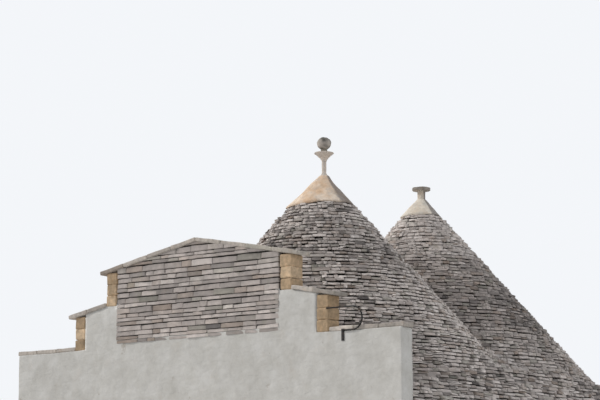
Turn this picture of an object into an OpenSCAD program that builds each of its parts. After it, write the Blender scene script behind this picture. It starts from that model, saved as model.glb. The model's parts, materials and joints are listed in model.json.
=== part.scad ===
// Trullo house: two dry-stone cones over two corbelled domes, on whitewashed
// rubble walls, with a coped party wall at the left and a plain one at the right.
// Millimetres, +Z up, the street front faces -Y, origin on the ground at the middle.

/* [House] */
// Distance between the axes of the two cones
axis_gap = 3300; // [3200:10:3400]
// Depth of the house over its front and back walls
house_d = 8600; // [8500:10:8800]
// Distance from a cone's axis to the outer face of its party wall
end_reach = 3700; // [3600:10:3800]
// Thickness of the front and back walls
wall_t = 900; // [850:10:950]
// Thickness of the party walls
party_t = 800; // [700:10:850]
// Thickness of the wall between the two rooms
middle_t = 500; // [400:10:600]
// Height of the eaves over the ground
eaves_h = 2150; // [2120:5:2200]
// Thickness of the paved floors
floor_t = 80; // [60:5:85]

/* [Roof] */
// Height of the cones' points over the eaves
point_h = 4776; // [4700:2:4850]
// Half angle of the cones
cone_angle = 41; // [40.6:0.1:41.8]
// Height of a course of roof slabs, each one set back on the one below
course_h = 71; // [62:1:78]
// Thickness of the stone roof, measured level
roof_t = 460; // [430:5:480]
// Height of the straight skirt that both cones run down into
skirt_h = 850; // [820:5:880]
// Distance that the eaves stand out from the walls
eaves_out = 150; // [120:5:170]
// Thickness of the slabs along the eaves
eaves_slab_t = 60; // [40:5:70]
// Depth of the slabs along the eaves
eaves_slab_d = 620; // [540:10:700]
// Thickness of the stones that close a cone at its top
crown_t = 200; // [160:10:240]

/* [Domes and alcoves] */
// Width of the ledge under the foot of a dome
dome_ledge = 20; // [10:1:60]
// Height of the springing of the domes over the ground
spring_h = 2600; // [2580:5:2620]
// Stone courses in the corbelled face of a dome
dome_courses = 14; // [10:1:18]
// Radius of the hole that the key slab of a dome closes
key_r = 170; // [140:10:200]
// Thickness of the key slab and the fill over it
key_t = 200; // [160:10:240]
// Radius of the barrel vaults over the alcoves
vault_r = 1230; // [1180:10:1260]
// Height of the springing of the alcove vaults
vault_spring_h = 1100; // [1050:10:1150]
// Half width of the arch between the rooms
arch_r = 750; // [650:10:850]
// Height of the springing of that arch
arch_spring_h = 1250; // [1150:10:1350]

/* [Main pinnacle] */
// Radius of the cone under the foot of the main plaster cap
main_cap_r = 590; // [560:5:630]
// Depth of the drip edge of a plaster cap
cap_edge_t = 26; // [16:2:36]
// Distance that a plaster cap stands proud of the stones
cap_proud = 45; // [40:1:55]
// Radius of the foot of the shaft
foot_r = 95; // [85:1:105]
// Radius of the shaft
shaft_r = 44; // [36:1:50]
// Height of the shaft with its foot
shaft_h = 280; // [240:2:310]
// Height of the flare at the shaft's foot
flare_h = 80; // [60:2:100]
// Radius of the bowl at its rim
bowl_r = 187; // [165:1:200]
// Height of the bowl with its neck
bowl_h = 250; // [220:1:270]
// Thickness of the bowl's rim
rim_t = 20; // [14:1:26]
// Radius of the neck under the ball
neck_r = 62; // [50:1:70]
// Height of the neck under the ball
neck_h = 68; // [56:1:80]
// Radius of the ball
ball_r = 136; // [120:1:145]
// Height of the ball
ball_h = 225; // [205:1:245]
// Radius of the ball's flat top
ball_flat_r = 52; // [30:1:70]

/* [Second pinnacle] */
// Radius of the cone under the foot of the second plaster cap
second_cap_r = 395; // [370:1:420]
// Radius of the stub under the disc
stub_r = 80; // [70:1:88]
// Height of the stub under the disc
stub_h = 176; // [150:1:200]
// Radius of the disc
disc_r = 186; // [170:1:200]
// Thickness of the disc
disc_t = 58; // [50:1:75]

/* [Doorway] */
// Width of the doorway in the wall
door_w = 950; // [850:10:1000]
// Height of the doorway over the ground
door_h = 1900; // [1850:5:1930]
// Bearing of the lintel at each side
lintel_bearing = 180; // [120:10:240]
// Height of the threshold stone
threshold_h = 90; // [88:1:110]
// Width of a jamb of the wooden door frame
jamb_w = 70; // [55:1:80]
// Depth of the wooden door frame
jamb_d = 120; // [90:2:150]
// Thickness of the door leaf
leaf_t = 45; // [35:1:55]

/* [Windows] */
// Width of a window in the wall
window_w = 500; // [450:5:550]
// Height of a window over its sill
window_h = 620; // [560:5:640]
// Height of the top of a sill over the ground
sill_h = 1150; // [1100:5:1180]
// Thickness of a sill
sill_t = 45; // [35:1:60]
// Distance that a sill stands out from the wall
sill_out = 60; // [45:1:80]
// Width of the stone surround of a window
surround_w = 110; // [90:2:130]
// Thickness of the stone surround of a window
surround_t = 30; // [20:1:40]
// Width of the bars of a window frame
bar_w = 50; // [40:1:60]
// Depth of the bars of a window frame
bar_d = 60; // [45:1:75]
// Thickness of the window glass
glass_t = 6; // [4:1:10]

/* [Left party wall] */
// Thickness of the coped wall where it stands over the roof
parapet_t = 300; // [270:5:330]
// Height of the coped wall's shoulders over the ground
shoulder_h = 3380; // [3330:10:3430]
// Distance from the middle of the house to the end of a middle step
step_reach = 2860; // [2790:10:2940]
// Height of a middle step at its end, under the coping
step_h = 3990; // [3950:10:4050]
// Distance from the middle of the house to the end of the top step
top_reach = 2100; // [2000:10:2200]
// Height of the top step at its ends, under the coping
top_step_h = 4730; // [4680:10:4780]
// Fall of the copings for each unit of length
coping_fall = 0.19; // [0.14:0.01:0.22]
// Thickness of the coping slabs
coping_t = 75; // [60:1:90]
// Distance that the coping stands out at the sides
coping_side = 40; // [20:1:60]
// Distance that a sloping coping runs past its step's end
coping_end = 150; // [100:5:180]
// Length of the corner blocks of soft stone
quoin_l = 250; // [220:10:280]

/* [Iron bracket] */
// Radius of the bracket's curl
curl_r = 190; // [170:2:210]
// Radius of the iron bar
iron_r = 11; // [8:0.5:14]
// Length of the bar that runs back from the top of the curl
curl_tail = 520; // [460:10:580]
// Length of the bar from the foot of the curl to the plate
curl_foot = 200; // [170:5:230]
// Width of the plate on the wall
plate_w = 50; // [40:2:60]
// Height of the plate on the wall
plate_h = 190; // [160:5:220]
// Thickness of the plate on the wall
plate_t = 12; // [8:1:16]
// Distance from the wall's front face to the plate
plate_inset = 1145; // [1100:5:1200]
// Distance from the top of the shoulder's coping down to the plate's top
plate_drop = 50; // [30:5:70]
// Depth to which the bar is forged into the plate
weld_d = 4; // [2:1:6]

/* [Hidden] */
// Gap between curved faces that seat on each other
fit = 0.3;
// Length by which a cut passes the faces that it opens
past = 10;
// Thickness of the thin plates that the skirt's outline is drawn with
outline_t = 1;
main_x = -axis_gap / 2;
second_x = axis_gap / 2;
apex_z = eaves_h + point_h;
skirt_z = eaves_h + skirt_h;
wall_top = eaves_h - eaves_slab_t;
front_y = -house_d / 2;
inner_y = front_y + wall_t;
face_x = axis_gap / 2 + end_reach;
room_x = face_x - party_t;
// Half width of the square room under a dome
room_half = (axis_gap - middle_t) / 2;
dome_r = room_half - dome_ledge;
roof_x = face_x + coping_side;
// Inner face of the coped wall, where the roof starts
parapet_x = parapet_t - face_x;
// Corner of the skirt's eaves, past the party walls
corner_x = axis_gap / 2 + house_d / 2 + eaves_out;
eaves_y = house_d / 2 + eaves_out;
skirt_r = cone_radius(skirt_z);
// Level run of the skirt for each unit of its height
skirt_run = (eaves_y - skirt_r) / skirt_h;
main_cap_z = apex_z - main_cap_r / tan(cone_angle);
second_cap_z = apex_z - second_cap_r / tan(cone_angle);
main_foot_z = apex_z - foot_r / tan(cone_angle);
second_foot_z = apex_z - stub_r / tan(cone_angle);
bowl_z = main_foot_z + shaft_h;
ball_z = bowl_z + bowl_h;
leaf_w = door_w - 2 * jamb_w;
leaf_h = door_h - jamb_w - threshold_h - 2 * past;
frame_y = front_y + wall_t / 2;
window_places = [[second_x, -1], [main_x, 1], [second_x, 1]];
curve_steps = 8;
// Power by which the bowl's side bends outwards towards its rim
bowl_bend = 1.6;
ball_steps = 20;
// Facets of the round pieces when they are drawn as a mesh
roof_fn = 96;
turned_fn = 64;
hull_fn = 48;
bar_fn = 32;

limewash = "#ddd9d0";
stone = "#8b8580";
plaster = "#d7c2af";
tufa = "#b58a55";
timber = "#5f7a6a";

function cone_radius(z) = (apex_z - z) * tan(cone_angle);

// A box from its least corner to its greatest
module span(low, high) {
    translate(low) cube(high - low);
}

// A window's or a doorway's place on its wall, with the street side towards -Y
module on_wall(place) {
    translate([place[0], 0, 0]) scale_side(place[1]) children();
}

module scale_side(side) {
    if (side < 0) children();
    else mirror([0, 1, 0]) children();
}

module window_hole() {
    span([-window_w / 2, front_y - sill_out - past, sill_h - sill_t],
        [window_w / 2, inner_y + past, sill_h + window_h]);
}

module window_holes(side) {
    for (place = window_places) {
        if (place[1] == side) on_wall(place) window_hole();
    }
}

module lintel_block(grow) {
    span([main_x - door_w / 2 - lintel_bearing, front_y - grow, door_h],
        [main_x + door_w / 2 + lintel_bearing, inner_y + grow, wall_top + grow]);
}

module front_wall_left() {
    color(limewash) difference() {
        span([-room_x, front_y, 0], [main_x - door_w / 2, inner_y, wall_top]);
        lintel_block(past);
    }
}

module front_wall_right() {
    color(limewash) difference() {
        span([main_x + door_w / 2, front_y, 0], [room_x, inner_y, wall_top]);
        lintel_block(past);
        window_holes(-1);
    }
}

module back_wall() {
    color(limewash) difference() {
        span([-room_x, -inner_y, 0], [room_x, -front_y, wall_top]);
        window_holes(1);
    }
}

// The tops of the coped wall's middle and top steps, at a distance from the middle of the house
function step_line(reach) = step_h + coping_fall * (step_reach - reach);
function top_line(reach) = top_step_h + coping_fall * (top_reach - reach);

// The side view of the coped wall's front half, from its foot to the middle of its top
half_outline = [
    [front_y, 0],
    [front_y, shoulder_h],
    [quoin_l - step_reach, shoulder_h],
    [quoin_l - step_reach, step_line(step_reach - quoin_l)],
    [-top_reach, step_line(top_reach)],
    [quoin_l - top_reach, step_line(top_reach)],
    [quoin_l - top_reach, top_line(top_reach - quoin_l)],
    [0, top_line(0)]
];

// A side view in the coped wall's plane, given a thickness that reaches out past both faces
module along_parapet(out) {
    translate([-face_x - out, 0, 0]) rotate([90, 0, 90]) linear_extrude(parapet_t + 2 * out) children();
}

// A party wall between two places along the street, up to the underside of the roof
module wall_under_roof(low_x, high_x) {
    span([low_x, front_y, 0], [high_x, -front_y, eaves_h]);
    intersection() {
        span([low_x, front_y, eaves_h], [high_x, -front_y, skirt_z]);
        skirt_body(roof_t + fit, 0);
    }
}

module left_party_wall() {
    last = len(half_outline) - 2;
    color(limewash) {
        along_parapet(0) polygon(concat(
            half_outline,
            [for (i = [last:-1:0]) [-half_outline[i][0], half_outline[i][1]]]
        ));
        mirror([1, 0, 0]) wall_under_roof(room_x, -parapet_x);
    }
}

// The hollow under the skirt: its straight outer face, inset by the roof's thickness
module skirt_body(inset, grow) {
    hull() {
        foot_x = corner_x - inset + grow * skirt_run;
        foot_y = eaves_y - inset + grow * skirt_run;
        translate([-foot_x, -foot_y, eaves_h - grow]) cube([2 * foot_x, 2 * foot_y, outline_t]);
        for (x = [main_x, second_x]) {
            translate([x, 0, skirt_z + grow - outline_t])
                cylinder(h = outline_t, r = skirt_r - inset - grow * skirt_run, $fn = hull_fn);
        }
    }
}

module right_party_wall() {
    color(limewash) wall_under_roof(room_x, face_x);
}

module middle_wall() {
    color(limewash) difference() {
        span([-middle_t / 2, inner_y, 0], [middle_t / 2, -inner_y, spring_h]);
        span([-middle_t, -arch_r, -past], [middle_t, arch_r, arch_spring_h]);
        translate([-middle_t, 0, arch_spring_h]) rotate([0, 90, 0])
            cylinder(h = 2 * middle_t, r = arch_r, $fn = turned_fn);
    }
}

// Both corner masses of masonry on the street side
module corner_piers() {
    for (side = [-1, 1]) {
        scale_x(side) span([second_x + room_half, inner_y, 0], [room_x, -room_half, spring_h]);
    }
}

module scale_x(side) {
    if (side > 0) children();
    else mirror([1, 0, 0]) children();
}

module front_piers() {
    color(stone) corner_piers();
}

module back_piers() {
    color(stone) mirror([0, 1, 0]) corner_piers();
}

// A tunnel of the alcove vault's outline, its mouth at the origin, running along +Y
module alcove_tunnel(half_w, length) {
    difference() {
        span([-half_w, 0, 0], [half_w, length, spring_h]);
        span([-vault_r, -past, -past], [vault_r, length + past, vault_spring_h]);
        translate([0, -past, vault_spring_h]) rotate([-90, 0, 0])
            cylinder(h = length + 2 * past, r = vault_r, $fn = turned_fn);
    }
}

module street_alcoves() {
    for (x = [main_x, second_x]) {
        translate([x, inner_y, 0]) alcove_tunnel(room_half, -room_half - inner_y);
    }
}

module front_alcove_vaults() {
    color(limewash) street_alcoves();
}

module back_alcove_vaults() {
    color(limewash) mirror([0, 1, 0]) street_alcoves();
}

module end_alcove_vaults() {
    color(limewash) for (side = [-1, 1]) {
        scale_x(side) translate([room_x, 0, 0]) rotate([0, 0, 90])
            alcove_tunnel(room_half, room_x - second_x - room_half);
    }
}

// The paved floor of one room: the square under its dome and its three alcoves
module room_floor() {
    span([second_x - room_half, -room_half, 0], [second_x + room_half, room_half, floor_t]);
    span([second_x - vault_r, inner_y, 0], [second_x + vault_r, -inner_y, floor_t]);
    span([second_x, -vault_r, 0], [room_x, vault_r, floor_t]);
}

module second_floor() {
    color(stone) room_floor();
}

module main_floor() {
    color(stone) {
        mirror([1, 0, 0]) room_floor();
        span([-middle_t / 2, -arch_r, 0], [middle_t / 2, arch_r, floor_t]);
    }
}

// The inner line of a corbelled dome: rings of stone, each nearer to the axis
function dome_line_r(u) = dome_r - (dome_r - key_r) * pow(u, 1.5);
function dome_step_z(i, top_z) = spring_h + (top_z - spring_h) * i / dome_courses;

module inner_dome(axis_x, crown_z) {
    top_z = crown_z - key_t;
    translate([axis_x, 0, 0]) rotate_extrude($fn = roof_fn) polygon(concat(
        [[0, top_z], [0, crown_z - fit], [cone_radius(crown_z) - roof_t - fit, crown_z - fit]],
        [[cone_radius(spring_h) - roof_t - fit, spring_h]],
        [for (i = [0:dome_courses - 1]) each [
            [dome_line_r(i / dome_courses), dome_step_z(i, top_z)],
            [dome_line_r(i / dome_courses), dome_step_z(i + 1, top_z)]
        ]]
    ));
}

// Everything from one level place to another along the street
module street_band(low_x, high_x) {
    translate([low_x, -house_d, 0]) cube([high_x - low_x, 2 * house_d, 2 * apex_z]);
}

module main_inner_dome() {
    color(stone) intersection() {
        inner_dome(main_x, main_cap_z - crown_t);
        street_band(-room_x, 0);
    }
}

module second_inner_dome() {
    color(stone) intersection() {
        inner_dome(second_x, second_cap_z - crown_t);
        street_band(0, room_x);
    }
}

// A cone laid in level courses: upright rings of slabs over a smooth inner face
module cone_roof(axis_x, cap_z) {
    crown_z = cap_z - crown_t;
    courses = round((cap_z - skirt_z) / course_h);
    ring_h = (cap_z - skirt_z) / courses;
    translate([axis_x, 0, 0]) rotate_extrude($fn = roof_fn) polygon(concat(
        [[skirt_r - roof_t, skirt_z]],
        [for (i = [0:courses - 1]) let (z = skirt_z + i * ring_h, r = cone_radius(z + ring_h / 2))
            each [[r, z], [r, z + ring_h]]],
        [[0, cap_z], [0, crown_z], [cone_radius(crown_z) - roof_t, crown_z]]
    ));
}

module main_cone_roof() {
    color(stone) intersection() {
        cone_roof(main_x, main_cap_z);
        street_band(parapet_x, 0);
    }
}

module second_cone_roof() {
    color(stone) intersection() {
        cone_roof(second_x, second_cap_z);
        street_band(0, roof_x);
    }
}

// The skirt's courses: square at the eaves, each one rounder at its corners, up to the round cones
module skirt_slabs() {
    courses = round(skirt_h / course_h);
    ring_h = skirt_h / courses;
    for (i = [0:courses - 1]) {
        share = (i + 0.5) / courses;
        half_x = corner_x + share * (second_x - corner_x);
        half_y = (1 - share) * eaves_y;
        hull() for (x = [-half_x, half_x], y = [-half_y, half_y]) {
            translate([x, y, eaves_h]) cylinder(h = (i + 1) * ring_h, r = share * skirt_r, $fn = hull_fn);
        }
    }
}

// The skirt between two levels of depth, from the coped wall to the right wall's end
module skirt_between(low_y, high_y) {
    intersection() {
        difference() {
            skirt_slabs();
            skirt_body(roof_t, past);
        }
        span([parapet_x, low_y, 0], [roof_x, high_y, apex_z]);
    }
}

module front_roof_skirt() {
    color(stone) skirt_between(-house_d, 0);
}

module back_roof_skirt() {
    color(stone) skirt_between(0, house_d);
}

// The slabs along the street eaves: they lie on the front wall, and before the party walls' heads
module eaves_slabs() {
    span([-room_x, -eaves_y, wall_top], [room_x, eaves_slab_d - eaves_y, eaves_h]);
    span([parapet_x, -eaves_y, wall_top], [roof_x, front_y, eaves_h]);
}

module front_eaves_slabs() {
    color(stone) eaves_slabs();
}

module back_eaves_slabs() {
    color(stone) mirror([0, 1, 0]) eaves_slabs();
}

module plaster_cap(axis_x, cap_r, cap_z, top_r, top_z) {
    translate([axis_x, 0, 0]) rotate_extrude($fn = roof_fn) polygon(concat(
        [[0, cap_z], [cap_r + cap_proud, cap_z], [cap_r + cap_proud, cap_z + cap_edge_t]],
        [for (i = [1:curve_steps]) let (u = i / curve_steps) [
            top_r + (cap_r - top_r) * (1 - u) + cap_proud * (1 - u) * (1 - u),
            cap_z + cap_edge_t + (top_z - cap_z - cap_edge_t) * u
        ]],
        [[0, top_z]]
    ));
}

module main_plaster_cap() {
    color(plaster) plaster_cap(main_x, main_cap_r, main_cap_z, foot_r, main_foot_z);
}

module second_plaster_cap() {
    color(plaster) plaster_cap(second_x, second_cap_r, second_cap_z, stub_r, second_foot_z);
}

module main_pinnacle_shaft() {
    color(plaster) translate([main_x, 0, main_foot_z]) rotate_extrude($fn = turned_fn) polygon(concat(
        [[0, 0]],
        [for (i = [0:curve_steps]) let (u = i / curve_steps)
            [shaft_r + (foot_r - shaft_r) * pow(1 - u, 2), flare_h * u]],
        [[shaft_r, shaft_h], [0, shaft_h]]
    ));
}

module main_pinnacle_bowl() {
    color(plaster) translate([main_x, 0, bowl_z]) rotate_extrude($fn = turned_fn) polygon(concat(
        [[0, 0]],
        [for (i = [0:curve_steps]) let (u = i / curve_steps)
            [shaft_r + (bowl_r - shaft_r) * pow(u, bowl_bend), (bowl_h - neck_h - rim_t) * u]],
        [[bowl_r, bowl_h - neck_h], [neck_r, bowl_h - neck_h], [neck_r, bowl_h], [0, bowl_h]]
    ));
}

// The ball is wider than high: it is cut flat where it sits on the neck and at its top
module main_pinnacle_ball() {
    low_a = asin(neck_r / ball_r);
    top_a = asin(ball_flat_r / ball_r);
    color(stone) translate([main_x, 0, ball_z]) rotate_extrude($fn = turned_fn) polygon(concat(
        [[0, 0]],
        [for (i = [0:ball_steps]) let (a = low_a + (180 - low_a - top_a) * i / ball_steps)
            [ball_r * sin(a), ball_h * (cos(low_a) - cos(a)) / (cos(low_a) + cos(top_a))]],
        [[0, ball_h]]
    ));
}

module second_pinnacle_stub() {
    color(plaster) translate([second_x, 0, second_foot_z])
        cylinder(h = stub_h, r = stub_r, $fn = turned_fn);
}

module second_pinnacle_disc() {
    color(stone) translate([second_x, 0, second_foot_z + stub_h])
        cylinder(h = disc_t, r = disc_r, $fn = turned_fn);
}

// The coping of the top step: one slab of even depth that falls from the middle to both ends
module top_coping() {
    end = top_reach + coping_end;
    along_parapet(coping_side) polygon([
        [-end, top_line(end)],
        [0, top_line(0)],
        [end, top_line(end)],
        [end, top_line(end) + coping_t],
        [0, top_line(0) + coping_t],
        [-end, top_line(end) + coping_t]
    ]);
}

// The coping of the middle step on the street side, against the end of the top step
module step_coping() {
    end = step_reach + coping_end;
    along_parapet(coping_side) polygon([
        [-end, step_line(end)],
        [-top_reach, step_line(top_reach)],
        [-top_reach, step_line(top_reach) + coping_t],
        [-end, step_line(end) + coping_t]
    ]);
}

module parapet_coping() {
    color(stone) {
        top_coping();
        step_coping();
        mirror([0, 1, 0]) step_coping();
    }
}

// The coping of the street shoulder, flush with the wall's two faces
module shoulder_coping() {
    span([-face_x, front_y - coping_side, shoulder_h], [parapet_x, -step_reach, shoulder_h + coping_t]);
}

module shoulder_copings() {
    color(stone) {
        shoulder_coping();
        mirror([0, 1, 0]) shoulder_coping();
    }
}

// The blocks of soft ochre stone that end the two street steps, one tapered column each
module street_quoins() {
    along_parapet(0) polygon([
        [-step_reach, shoulder_h],
        [quoin_l - step_reach, shoulder_h],
        [quoin_l - step_reach, step_line(step_reach - quoin_l)],
        [-step_reach, step_h]
    ]);
    along_parapet(0) polygon([
        [-top_reach, step_line(top_reach)],
        [quoin_l - top_reach, step_line(top_reach)],
        [quoin_l - top_reach, top_line(top_reach - quoin_l)],
        [-top_reach, top_step_h]
    ]);
}

module parapet_quoins() {
    color(tufa) {
        street_quoins();
        mirror([0, 1, 0]) street_quoins();
    }
}

module door_lintel() {
    color(stone) lintel_block(0);
}

module door_threshold() {
    color(stone) span([main_x - door_w / 2, front_y, 0], [main_x + door_w / 2, inner_y, threshold_h]);
}

module door_frame() {
    color(timber) difference() {
        span([main_x - door_w / 2, inner_y - jamb_d, threshold_h], [main_x + door_w / 2, inner_y, door_h]);
        span([main_x - leaf_w / 2, inner_y - jamb_d - past, threshold_h - past],
            [main_x + leaf_w / 2, inner_y + past, door_h - jamb_w]);
    }
}

// The leaf stands open, square to the wall, seated against the frame's inner face
module door_leaf() {
    color(timber) span([main_x - leaf_w / 2 - leaf_t, inner_y + fit, threshold_h + past],
        [main_x - leaf_w / 2, inner_y + fit + leaf_w, threshold_h + past + leaf_h]);
}

module window_surround() {
    difference() {
        span([-window_w / 2 - surround_w, front_y - surround_t, sill_h - sill_t - surround_w],
            [window_w / 2 + surround_w, front_y, sill_h + window_h + surround_w]);
        window_hole();
    }
}

module window_surrounds() {
    color(stone) for (place = window_places) on_wall(place) window_surround();
}

module window_sills() {
    color(stone) for (place = window_places) {
        on_wall(place)
            span([-window_w / 2, front_y - sill_out, sill_h - sill_t], [window_w / 2, frame_y, sill_h]);
    }
}

module window_frame() {
    inner_w = window_w / 2 - bar_w;
    difference() {
        span([-window_w / 2, frame_y - bar_d, sill_h], [window_w / 2, frame_y, sill_h + window_h]);
        for (side = [-1, 1]) {
            scale_x(side) span([bar_w / 2, frame_y - bar_d - past, sill_h + bar_w],
                [inner_w, frame_y + past, sill_h + window_h - bar_w]);
        }
    }
}

module window_frames() {
    color(timber) for (place = window_places) on_wall(place) window_frame();
}

module window_glass() {
    color("#9fb4bd") for (place = window_places) {
        on_wall(place)
            span([-window_w / 2, frame_y, sill_h], [window_w / 2, frame_y + glass_t, sill_h + window_h]);
    }
}

// The curl is fixed to the outer face of the coped wall's front shoulder, in the wall's own plane
module iron_bracket() {
    plate_y = front_y + plate_inset;
    plate_z = shoulder_h + coping_t - plate_drop;
    bar_x = weld_d - face_x - plate_t - iron_r;
    curl_y = plate_y - curl_foot;
    foot_z = plate_z - 2 * iron_r;
    color("#2b2a2a") {
        span([-face_x - plate_t, plate_y - plate_w / 2, plate_z - plate_h],
            [-face_x, plate_y + plate_w / 2, plate_z]);
        translate([bar_x, curl_y, foot_z]) rotate([-90, 0, 0])
            cylinder(h = curl_foot, r = iron_r, $fn = bar_fn);
        translate([bar_x, curl_y, foot_z + curl_r]) rotate([90, 0, 90]) rotate([0, 0, 90])
            rotate_extrude(angle = 180, $fn = turned_fn)
                translate([curl_r, 0]) circle(r = iron_r, $fn = bar_fn);
        translate([bar_x, curl_y, foot_z + 2 * curl_r]) rotate([-90, 0, 0])
            cylinder(h = curl_tail, r = iron_r, $fn = bar_fn);
    }
}

front_wall_left();
front_wall_right();
back_wall();
left_party_wall();
right_party_wall();
middle_wall();
front_piers();
back_piers();
front_alcove_vaults();
back_alcove_vaults();
end_alcove_vaults();
main_floor();
second_floor();
main_inner_dome();
second_inner_dome();
front_eaves_slabs();
back_eaves_slabs();
front_roof_skirt();
back_roof_skirt();
main_cone_roof();
second_cone_roof();
main_plaster_cap();
second_plaster_cap();
main_pinnacle_shaft();
main_pinnacle_bowl();
main_pinnacle_ball();
second_pinnacle_stub();
second_pinnacle_disc();
parapet_coping();
shoulder_copings();
parapet_quoins();
door_lintel();
door_threshold();
door_frame();
door_leaf();
window_surrounds();
window_sills();
window_frames();
window_glass();
iron_bracket();
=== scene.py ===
"""Looks of the trullo house: laid roof slabs, plaster caps, pinnacles, limewashed walls and joinery."""
import json
import logging
import math
import random
from bisect import bisect_left
from collections.abc import Callable, Iterable, Iterator, Sequence
from dataclasses import dataclass, field, replace
from enum import Enum
from itertools import accumulate, product

import bmesh
import bpy
from bmesh.types import BMEdge, BMesh
from bpy.types import Material, Mesh, Node, NodeSocket, NodeTree
from mathutils import Euler, Matrix, Vector, noise


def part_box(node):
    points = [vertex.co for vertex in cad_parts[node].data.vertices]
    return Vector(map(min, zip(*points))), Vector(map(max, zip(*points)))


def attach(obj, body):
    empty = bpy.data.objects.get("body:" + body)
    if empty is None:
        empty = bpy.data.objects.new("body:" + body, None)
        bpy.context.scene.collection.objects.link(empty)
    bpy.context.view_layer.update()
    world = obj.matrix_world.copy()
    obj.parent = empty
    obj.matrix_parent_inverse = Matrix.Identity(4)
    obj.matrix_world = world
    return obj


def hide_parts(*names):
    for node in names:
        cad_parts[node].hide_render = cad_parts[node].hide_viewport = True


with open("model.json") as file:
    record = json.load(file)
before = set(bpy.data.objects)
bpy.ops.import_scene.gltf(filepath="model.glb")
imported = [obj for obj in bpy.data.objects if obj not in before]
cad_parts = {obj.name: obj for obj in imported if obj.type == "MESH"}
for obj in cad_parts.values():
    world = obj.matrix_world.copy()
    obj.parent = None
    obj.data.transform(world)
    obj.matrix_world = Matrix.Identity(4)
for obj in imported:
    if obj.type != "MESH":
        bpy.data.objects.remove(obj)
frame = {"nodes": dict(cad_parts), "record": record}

LOG = logging.getLogger("trullo")
UP = Vector((0.0, 0.0, 1.0))
LOW_SIDE = Vector((-0.61, 0.79, 0.0))
FLAT_NAIL = Matrix.Diagonal((0.5, 1.0, 1.0, 1.0))
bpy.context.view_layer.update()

Triple = tuple[float, float, float]
Value = NodeSocket | float | Sequence[float]
Marks = Sequence[tuple[float, float]]


class Slot(Enum):
    """The finishes that the record names."""

    LIMEWASH = "limewash"
    RUBBLE = "rubble_stone"
    ROOF = "roof_stone"
    PLASTER = "plaster"
    CARVED = "carved_stone"
    TUFA = "tufa"
    TIMBER = "painted_timber"
    GLASS = "window_glass"
    IRON = "wrought_iron"


@dataclass(frozen=True)
class House:
    """Sizes that several pieces share, in metres."""

    axis: float = 1.65
    apex_z: float = 6.926
    eaves_z: float = 2.15
    skirt_z: float = 3.0
    spread: float = math.tan(math.radians(41.0))
    corner_x: float = 6.1
    eaves_y: float = 4.45
    parapet_x: float = -5.05
    gable_x: float = 5.39
    course: float = 0.071

    def cone_r(self, z: float) -> float:
        """Radius of the cones' face at a height."""
        return (self.apex_z - z) * self.spread


HOUSE = House()


def unit(value: float) -> float:
    """Keeps a value between 0 and 1."""
    return min(1.0, max(0.0, value))


# Materials


class Graph:
    """Adds nodes and links to one node tree by short calls. A colour is given as three numbers."""

    def __init__(self, tree: NodeTree) -> None:
        """Takes the tree that the nodes go into."""
        self.tree = tree

    def feed(self, socket: NodeSocket, value: Value) -> None:
        """Links or sets one input.

        Args:
            socket: the input.
            value: the socket that it is linked to, or the number, vector or colour that it is set to.
        """
        if isinstance(value, NodeSocket):
            self.tree.links.new(value, socket)
        else:
            socket.default_value = (*value, 1.0) if socket.type == "RGBA" else value

    def add(self, kind: str, values: dict[str | int, Value] | None = None, **settings: object) -> Node:
        """Adds one node.

        Args:
            kind: Blender's name of the node type.
            values: input name or index to what feeds it.
            settings: the node's own properties.

        Returns:
            The new node.
        """
        node = self.tree.nodes.new(kind)
        for key, value in settings.items():
            setattr(node, key, value)
        for key, value in (values or {}).items():
            self.feed(node.inputs[key], value)
        return node

    def mix(self, factor: Value, low: Value, high: Value, blend: str = "MIX") -> NodeSocket:
        """Mixes two colours by a factor."""
        values = {0: factor, 6: low, 7: high}
        return self.add("ShaderNodeMix", values, data_type="RGBA", blend_type=blend).outputs[2]

    def calc(self, operation: str, first: Value, second: Value, third: Value = 0.0) -> NodeSocket:
        """One step of arithmetic."""
        return self.add("ShaderNodeMath", {0: first, 1: second, 2: third}, operation=operation).outputs[0]

    def vector(self, operation: str, first: Value, second: Value = (0.0, 0.0, 0.0)) -> NodeSocket:
        """One step of vector arithmetic, which comes out as a number from a dot product."""
        node = self.add("ShaderNodeVectorMath", {0: first, 1: second}, operation=operation)
        return node.outputs[int(operation == "DOT_PRODUCT")]

    def remap(self, value: Value, low: float, high: float, to_low: float, to_high: float) -> NodeSocket:
        """Maps a range of a value to another range, clamped."""
        return self.add("ShaderNodeMapRange", {0: value, 1: low, 2: high, 3: to_low, 4: to_high}).outputs[0]

    def layer(self, base: Value, color: Value, value: Value, low: float, high: float, to_low: float,
              to_high: float) -> NodeSocket:
        """Lays a colour over a base, to the share that a remapped value gives."""
        return self.mix(self.remap(value, low, high, to_low, to_high), base, color)

    def noise(self, where: Value, scale: float, detail: float = 4.0, rough: float = 0.55,
              colored: bool = False) -> NodeSocket:
        """A smooth noise at a place, as a value or as a colour."""
        values = {"Vector": where, "Scale": scale, "Detail": detail, "Roughness": rough}
        return self.add("ShaderNodeTexNoise", values).outputs[int(colored)]

    def place(self) -> NodeSocket:
        """The Object coordinates."""
        return self.add("ShaderNodeTexCoord").outputs["Object"]

    def height(self, where: NodeSocket) -> NodeSocket:
        """The height of a place."""
        return self.add("ShaderNodeSeparateXYZ", {0: where}).outputs[2]


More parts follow.
